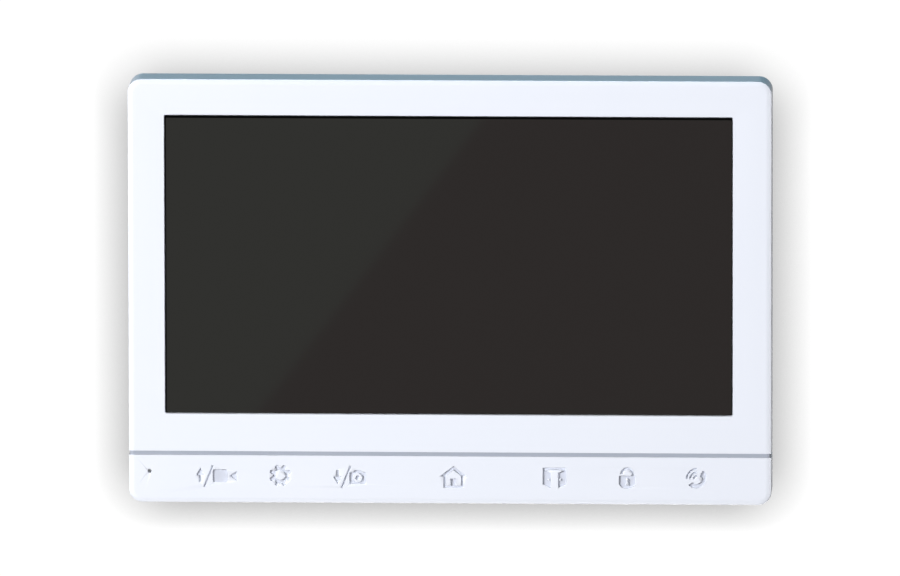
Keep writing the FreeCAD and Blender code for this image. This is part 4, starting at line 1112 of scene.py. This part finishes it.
@dataclass
class DisplayWindow:
    """Dark lens, flush in its pocket."""

    corner: float = 0.3
    # Widths of the matt black ink rim (left, right, foot, top), wider at the top and left as painted shadow
    # of the pocket's edge.
    painted_shadow_rim: tuple[float, float, float, float] = (0.3, 0.12, 0.12, 0.62)
    border_sink: float = 0.12
    chamfer: float = 0.08

    def build(self) -> Piece:
        """Builds the lens: a polished face that stands a little proud of its matt black ink rim, which paints
        the pocket edge's shadow along the top and left.

        Returns:
            The finished piece.
        """
        lens = Span.of("window_lens")
        bm = slab(lens.low, lens.high)
        round_off(bm, parallel_edges(bm, 1), self.corner, 4)
        face = faces_in_plane(bm, 1, lens.low.y)
        bmesh.ops.inset_region(bm, faces=face, thickness=0.1, use_even_offset=True)
        left, right, foot, top = self.painted_shadow_rim
        for vert in face[0].verts:
            away = vert.co - lens.centre
            vert.co.x += left - 0.1 if away.x < 0 else 0.1 - right
            vert.co.z += foot - 0.1 if away.z < 0 else 0.1 - top
        painted_shadow_rim = [f for f in faces_in_plane(bm, 1, lens.low.y) if f is not face[0]]
        for ring in painted_shadow_rim:
            ring.material_index = 1
        rim = list({v for f in painted_shadow_rim for v in f.verts if v not in set(face[0].verts)})
        polished = extrude(bm, face, (0, 0, 0))
        low = list({v for f in painted_shadow_rim for v in f.verts})
        bmesh.ops.translate(bm, verts=low, vec=(0, self.border_sink, 0))
        round_off(bm, [e for e in polished[0].edges], self.chamfer, 2)
        round_off(bm, [e for e in bm.edges if all(v in rim for v in e.verts)], 0.05, 1)
        piece = finish_piece(bm, "display_lens", "monitor", LENS_BLACK, ["window_lens"])
        piece.data.materials.append(WARDROBE.of(SHADOW_INK_RIM))
        return piece


@dataclass(frozen=True)
class KeyInlay:
    """Milky inlay of one touch key, down in its engraving."""

    node: str
    top: float = 0.86

    def build(self) -> Piece:
        """Builds the inlay with its face well below the skin, so the engraving's edges throw a shade on it.

        Returns:
            The finished piece.
        """
        bm = key_mark(self.node)
        face = Span.of("front_housing").low.y + self.top
        shown = {v for f in faces_in_plane(bm, 1, Span.of(self.node).low.y) for v in f.verts}
        for vert in shown:
            vert.co.y = face
        name = self.node.replace("icon_", "inlay_")
        return finish_piece(bm, name, "monitor", INLAY_GREY, replaces=[self.node])


# ---- pieces that follow their CAD node ----------------------------------------------------
@dataclass(frozen=True)
class Eased:
    """A piece that is its CAD node with eased edges."""

    node: str
    name: str
    body: str
    finish: object
    slot: str
    radius: float
    segments: int = 2

    def build(self) -> Piece:
        """Builds the piece.

        Returns:
            The finished piece.
        """
        bm = eased_copy(self.node, self.radius, self.segments)
        return finish_piece(bm, self.name, self.body, self.finish, replaces=[self.node])


@dataclass
class RearShell:
    """Rear cover with its outer rim and the mouths of its recess and bay rounded."""

    radius: float = 0.3
    least_rim: float = 60.0

    def rims(self, bm: Mesh) -> list[Edge]:
        """The long rims of the back face.

        Args:
            bm: the cover, millimetres.

        Returns:
            Their edges. Slots, holes and the grille have shorter rims and stay crisp.
        """
        level = Span.of("rear_cover").high.y - 0.02
        bm.edges.index_update()
        turned = {
            e
            for e in bm.edges
            if e.is_manifold
            and e.is_convex
            and e.calc_face_angle(0.0) > math.radians(25)
            and all(v.co.y > level for v in e.verts)
        }
        chosen = []
        while turned:
            waiting, rim = [turned.pop()], []
            while waiting:
                edge = waiting.pop()
                rim.append(edge)
                beside = {e for v in edge.verts for e in v.link_edges} & turned
                turned -= beside
                waiting.extend(beside)
            if sum(e.calc_length() for e in rim) > self.least_rim:
                chosen.extend(rim)
        return sorted(chosen, key=lambda e: e.index)

    def build(self) -> Piece:
        """Builds the shell.

        Returns:
            The finished piece.
        """
        bm = copy_of_node("rear_cover")
        round_off(bm, self.rims(bm), self.radius, 3, clamp=False)
        return finish_piece(bm, "rear_shell", "monitor", COVER_WHITE, ["rear_cover"])


EASED = (
    Eased("wall_bracket", "hanging_bracket", "bracket", GALVANISED, "steel_plate", 0.15),
    Eased("trim_strip", "design_line", "monitor", TRIM_GREY, "trim_grey", 0.08),
    Eased("line_sockets", "line_socket_shrouds", "monitor", NYLON_CREAM, "connector_cream", 0.12),
    Eased("power_socket", "power_socket_shroud", "monitor", NYLON_CREAM, "connector_cream", 0.12),
    Eased("memory_card", "storage_card", "card", CARD_BLACK, "card_black", 0.08),
    Eased("switch_lever", "power_lever", "switch", LEVER_WHITE, "lever_white", 0.08),
)

CARRIED = {
    "lens_tape": TAPE_BLACK,
    "lcd_cushion": FOAM_BLACK,
    "lcd_bezel": STEEL_BRUSHED,
    "lcd_glass": SCREEN_GLASS,
    "lcd_backlight_frame": FRAME_WHITE,
    "lcd_light_guide": GUIDE_FILM,
    "lcd_reflector": STEEL_BRUSHED,
    "lcd_brackets": GALVANISED,
    "lcd_bracket_screws": ZINC_PLATED,
    "lcd_flex": FLEX_AMBER,
    "key_light_baffle": FRAME_WHITE,
    "touch_board": BOARD_GREEN,
    "touch_pads": FOAM_BLACK,
    "key_leds": LAMP_RESIN,
    "touch_components": EPOXY_BLACK,
    "touch_board_screws": ZINC_PLATED,
    "touch_ribbon": RIBBON_WHITE,
    "microphone": CAN_ALUMINIUM,
    "microphone_boot": RUBBER_BLACK,
    "microphone_leads": LEAD_RED,
    "main_board": BOARD_GREEN,
    "main_chips": EPOXY_BLACK,
    "board_inductors": FERRITE,
    "board_capacitors": CAN_ALUMINIUM,
    "board_passives": CERAMIC_TAN,
    "board_connectors": NYLON_CREAM,
    "clock_cell": CELL_NICKEL,
    "clock_cell_holder": EPOXY_BLACK,
    "socket_pins": TINNED_BRASS,
    "card_socket": STEEL_BRUSHED,
    "switch_body": EPOXY_BLACK,
    "board_screws": ZINC_PLATED,
    "speaker_basket": GALVANISED,
    "speaker_magnet": MAGNET_GREY,
    "speaker_cone": CONE_PAPER,
    "voice_coil": COPPER_WIRE,
    "speaker_surround": RUBBER_BLACK,
    "speaker_gasket": FOAM_BLACK,
    "speaker_cloth": CLOTH_BLACK,
    "speaker_clips": GALVANISED,
    "speaker_clip_screws": ZINC_PLATED,
    "speaker_leads": LEAD_BLACK,
    "case_screws": ZINC_PLATED,
    "rating_label": LABEL_SILVER,
}


# ---- studio -------------------------------------------------------------------------------
class Aim(Enum):
    """Which rays see a card or lamp."""

    ALL = "all"
    GLOSS = "gloss"


@dataclass(frozen=True)
class Lamp:
    """A square soft box."""

    name: str
    place: tuple[float, float, float]
    target: tuple[float, float, float]
    size: float
    watts: float
    colour: str
    aim: Aim = Aim.ALL

    def build(self) -> Piece:
        """Adds the lamp to the scene.

        Returns:
            The light's object.
        """
        data = bpy.data.lights.new(self.name, "AREA")
        data.shape = "SQUARE"
        data.size = self.size
        data.energy = self.watts
        data.color = linear(self.colour)[:3]
        lamp = bpy.data.objects.new(self.name, data)
        lamp.location = self.place
        way = Vector(self.target) - Vector(self.place)
        lamp.rotation_euler = way.to_track_quat("-Z", "Y").to_euler()
        lamp.visible_diffuse = self.aim is Aim.ALL
        bpy.context.scene.collection.objects.link(lamp)
        return lamp


@dataclass
class Studio:
    """Camera, soft light, a wall and floor that glow pale with painted shade near the monitor, and the cards
    that the window reflects.
    """

    lens: float = 813.28
    distance: float = 6.0
    azimuth: float = -2.406
    elevation: float = 9.187
    roll: float = -0.093
    aim_x: float = 0.075
    aim_z: float = 1.342
    # Reach of the painted shade that darkens the wall and floor near the monitor, millimetres.
    painted_shade_reach: float = 16.0
    wall_gap: float = 1.0
    floor_drop: float = 300.0

    def camera(self) -> Piece:
        """Adds the camera, a long lens a little above the monitor and to its right.

        Returns:
            The camera's object.
        """
        azimuth, elevation, roll = (math.radians(a) for a in (self.azimuth, self.elevation, self.roll))
        level = Vector((-math.sin(azimuth), -math.cos(azimuth), 0)) * math.cos(elevation)
        back = level + Vector((0, 0, math.sin(elevation)))
        right = (-back).cross(Vector((0, 0, 1))).normalized()
        up = right.cross(-back)
        turned_right = right * math.cos(roll) + up * math.sin(roll)
        turned_up = up * math.cos(roll) - right * math.sin(roll)
        target = Vector((self.aim_x, Span.of("front_housing").low.y, self.aim_z)) * MM
        data = bpy.data.cameras.new("camera")
        data.lens = self.lens
        data.sensor_width = 36.0
        data.clip_start, data.clip_end = 0.1, 50.0
        camera = bpy.data.objects.new("camera", data)
        camera.matrix_world = (
            Matrix.Translation(target + back * self.distance)
            @ Matrix((turned_right, turned_up, back)).transposed().to_4x4()
        )
        bpy.context.scene.collection.objects.link(camera)
        bpy.context.scene.camera = camera
        return camera

    def one_sided(
        self, name: str, colour: str, glow: tuple[float, float], painted_shade_lean: tuple[float, float, float]
    ) -> Material:
        """A surface that is clear from behind and glows pale from the front, with painted shade where the
        monitor is near.

        Args:
            name: the material's name.
            colour: its colour.
            glow: how bright its painted glow is where half its view is blocked, as in a corner, and in the
                open.
            painted_shade_lean: the way the occlusion test looks, which tilts the painted shade to one side.

        Returns:
            The material.
        """
        material, tree, shader = fresh_material(name)
        way = add_node(tree, "ShaderNodeCombineXYZ", {"X": painted_shade_lean[0], "Y": painted_shade_lean[1], "Z": painted_shade_lean[2]}).outputs[0]
        # Ambient occlusion dims the emission near the monitor: painted shade, not a shadow from the lamps.
        reach = {"Distance": self.painted_shade_reach * MM, "samples": 16}
        painted_contact_shade = add_node(tree, "ShaderNodeAmbientOcclusion", reach, {"Normal": way})
        # Emission strength set by the occlusion: the sheet's brightness is painted light.
        light = add_node(
            tree,
            "ShaderNodeMapRange",
            {"clamp": False, "From Min": 0.5, "To Min": glow[0], "To Max": glow[1]},
            {"Value": painted_contact_shade.outputs["AO"]},
        )
        set_shader(
            shader,
            base_color=linear(colour),
            roughness=0.9,
            specular_ior_level=0.0,
            emission_color=linear("ffffff"),
            emission_strength=light.outputs["Result"],
        )
        side = add_node(tree, "ShaderNodeNewGeometry").outputs["Backfacing"]
        clear = add_node(tree, "ShaderNodeBsdfTransparent")
        mix = add_node(
            tree, "ShaderNodeMixShader", None, {"0": side, "1": shader.outputs[0], "2": clear.outputs[0]}
        )
        output = next(n for n in tree.nodes if n.type == "OUTPUT_MATERIAL")
        tree.links.new(mix.outputs[0], output.inputs["Surface"])
        return material

    def sheet(self, name: str, corners: list[Vector], material: Material) -> Piece:
        """A flat stage sheet.

        Args:
            name: its name.
            corners: its corners in metres, anticlockwise as seen from its pale side.
            material: what it is made of.

        Returns:
            The sheet.
        """
        bm = bmesh.new()
        bm.faces.new([bm.verts.new(c) for c in corners])
        mesh = bpy.data.meshes.new(name)
        bm.to_mesh(mesh)
        bm.free()
        sheet = bpy.data.objects.new(name, mesh)
        sheet.data.materials.append(material)
        bpy.context.scene.collection.objects.link(sheet)
        return sheet

    def room(self) -> None:
        """Adds the wall and the floor. Their brightness is a painted glow, darkened near the monitor as
        painted shade; they give no light back.
        """
        wide = 3.0
        y = self.wall_gap * MM
        z = -self.floor_drop * MM
        wall = [Vector((x, y, h)) for x, h in ((-wide, z), (wide, z), (wide, wide), (-wide, wide))]
        floor = [Vector((x, d, z)) for x, d in ((-wide, -wide), (wide, -wide), (wide, wide), (-wide, wide))]
        # Each sheet's painted glow when half occluded and in the open, and the tilt of its painted shade.
        for name, corners, glow, painted_shade_lean in (
            ("wall", wall, (0.53, 1.04), (0.06, -0.92, 0.39)),
            ("floor", floor, (0.4, 0.8), (0.0, 0.0, 1.0)),
        ):
            sheet = self.sheet(name, corners, self.one_sided("glow_painted_shade_" + name, "101010", glow, painted_shade_lean))
            sheet.visible_shadow = False
            sheet.visible_diffuse = False
            sheet.visible_glossy = False
            sheet.visible_transmission = False

    def seen_in_window(self, x: float, z: float, reach: float) -> Vector:
        """Where the camera's line to a point of the window goes after it is reflected.

        Args:
            x: the point's place across, millimetres.
            z: the point's height, millimetres.
            reach: how far in front of the window, millimetres.

        Returns:
            The place in metres.
        """
        eye = bpy.context.scene.camera.matrix_world.translation / MM
        face = Span.of("window_lens").low.y
        mirrored = Vector((eye.x, 2 * face - eye.y, eye.z))
        point = Vector((x, face, z))
        way = (point - mirrored)
        return (point + way * (reach / abs(way.y))) * MM

    def reflections(self) -> None:
        """Adds two large cards whose shared edge crosses the window as a slanting step of light."""
        reach, far = 900.0, 900.0
        top, foot = (10.4, 52.6), (-56.8, -36.6)
        slope = (top[0] - foot[0]) / (top[1] - foot[1])
        high = (top[0] + slope * far, top[1] + far)
        low = (foot[0] - slope * far, foot[1] - far)
        sides = (("card_left", -far * 2, "c8c8c0", 1.3), ("card_right", far * 2, "c4b8b4", 1.2))
        for name, edge, colour, strength in sides:
            points = [low, high, (edge, high[1]), (edge, low[1])]
            corners = [self.seen_in_window(x, z, reach) for x, z in points]
            material, _, shader = fresh_material("card_" + name)
            set_shader(
                shader,
                base_color=linear("000000"),
                specular_ior_level=0.0,
                emission_color=linear(colour),
                emission_strength=strength,
            )
            card = self.sheet(name, corners, material)
            card.visible_camera = False
            card.visible_shadow = False
            card.visible_diffuse = False
            card.visible_transmission = False

    def world(self) -> None:
        """Adds the dim, cool light of the room."""
        world = bpy.data.worlds.new("room")
        bpy.context.scene.world = world
        world.use_nodes = True
        background = next(n for n in world.node_tree.nodes if n.type == "BACKGROUND")
        background.inputs["Color"].default_value = (0.12, 0.12, 0.125, 1.0)
        background.inputs["Strength"].default_value = 1.0

    def lamps(self) -> None:
        """Adds the soft boxes."""
        for lamp in (
            Lamp("key", (-1.25, -1.95, 0.5), (0, 0, 0), 0.9, 61.0, "f8faff"),
            Lamp("fill", (0.2, -1.8, -0.1), (0, 0, 0), 1.0, 2.4, "f4f8ff"),
            Lamp("overhead", (0.0, 0.3, 1.3), (0, 0, 0), 0.8, 4.0, "30d8ff"),
            Lamp("back", (0.3, 1.4, -1.0), (0, 0, 0), 1.0, 24.0, "fffaf4"),
            Lamp("left", (-1.6, 0.2, -0.3), (0, 0, 0), 0.8, 5.0, "ffffff"),
            Lamp("right", (1.6, 0.2, -0.3), (0, 0, 0), 0.8, 6.0, "ffffff"),
            Lamp("foot", (0.0, 0.2, -1.6), (0, 0, 0), 0.8, 5.0, "ffffff"),
            Lamp("rim_top", (0.0, -0.6, 1.4), (0, 0, 0), 0.6, 9.0, "ffffff", Aim.GLOSS),
            Lamp("rim_left", (-1.2, -1.07, -0.26), (0, 0, 0), 0.25, 1.6, "ffffff", Aim.GLOSS),
            Lamp("rim_right", (1.1, -1.15, -0.26), (0, 0, 0), 0.25, 2.2, "ffffff", Aim.GLOSS),
            Lamp("rim_foot", (-0.06, -0.9, -1.3), (0, 0, 0), 0.28, 2.8, "ffffff", Aim.GLOSS),
        ):
            lamp.build()

    def build(self) -> None:
        """Sets up the whole studio."""
        self.camera()
        self.world()
        self.room()
        self.reflections()
        self.lamps()
        bpy.context.scene.view_settings.view_transform = "Standard"


def main() -> None:
    """Builds and dresses every piece, then the studio."""
    logging.basicConfig(level=logging.INFO, format="%(message)s")
    FrontHousing().build()
    DisplayWindow().build()
    RearShell().build()
    for piece in EASED:
        piece.build()
    for node, finish in CARRIED.items():
        WARDROBE.dress(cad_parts[node], finish)
    for node in sorted(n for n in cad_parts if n.startswith("icon_")):
        KeyInlay(node).build()
    Studio().build()


if __name__ == "__main__":
    main()
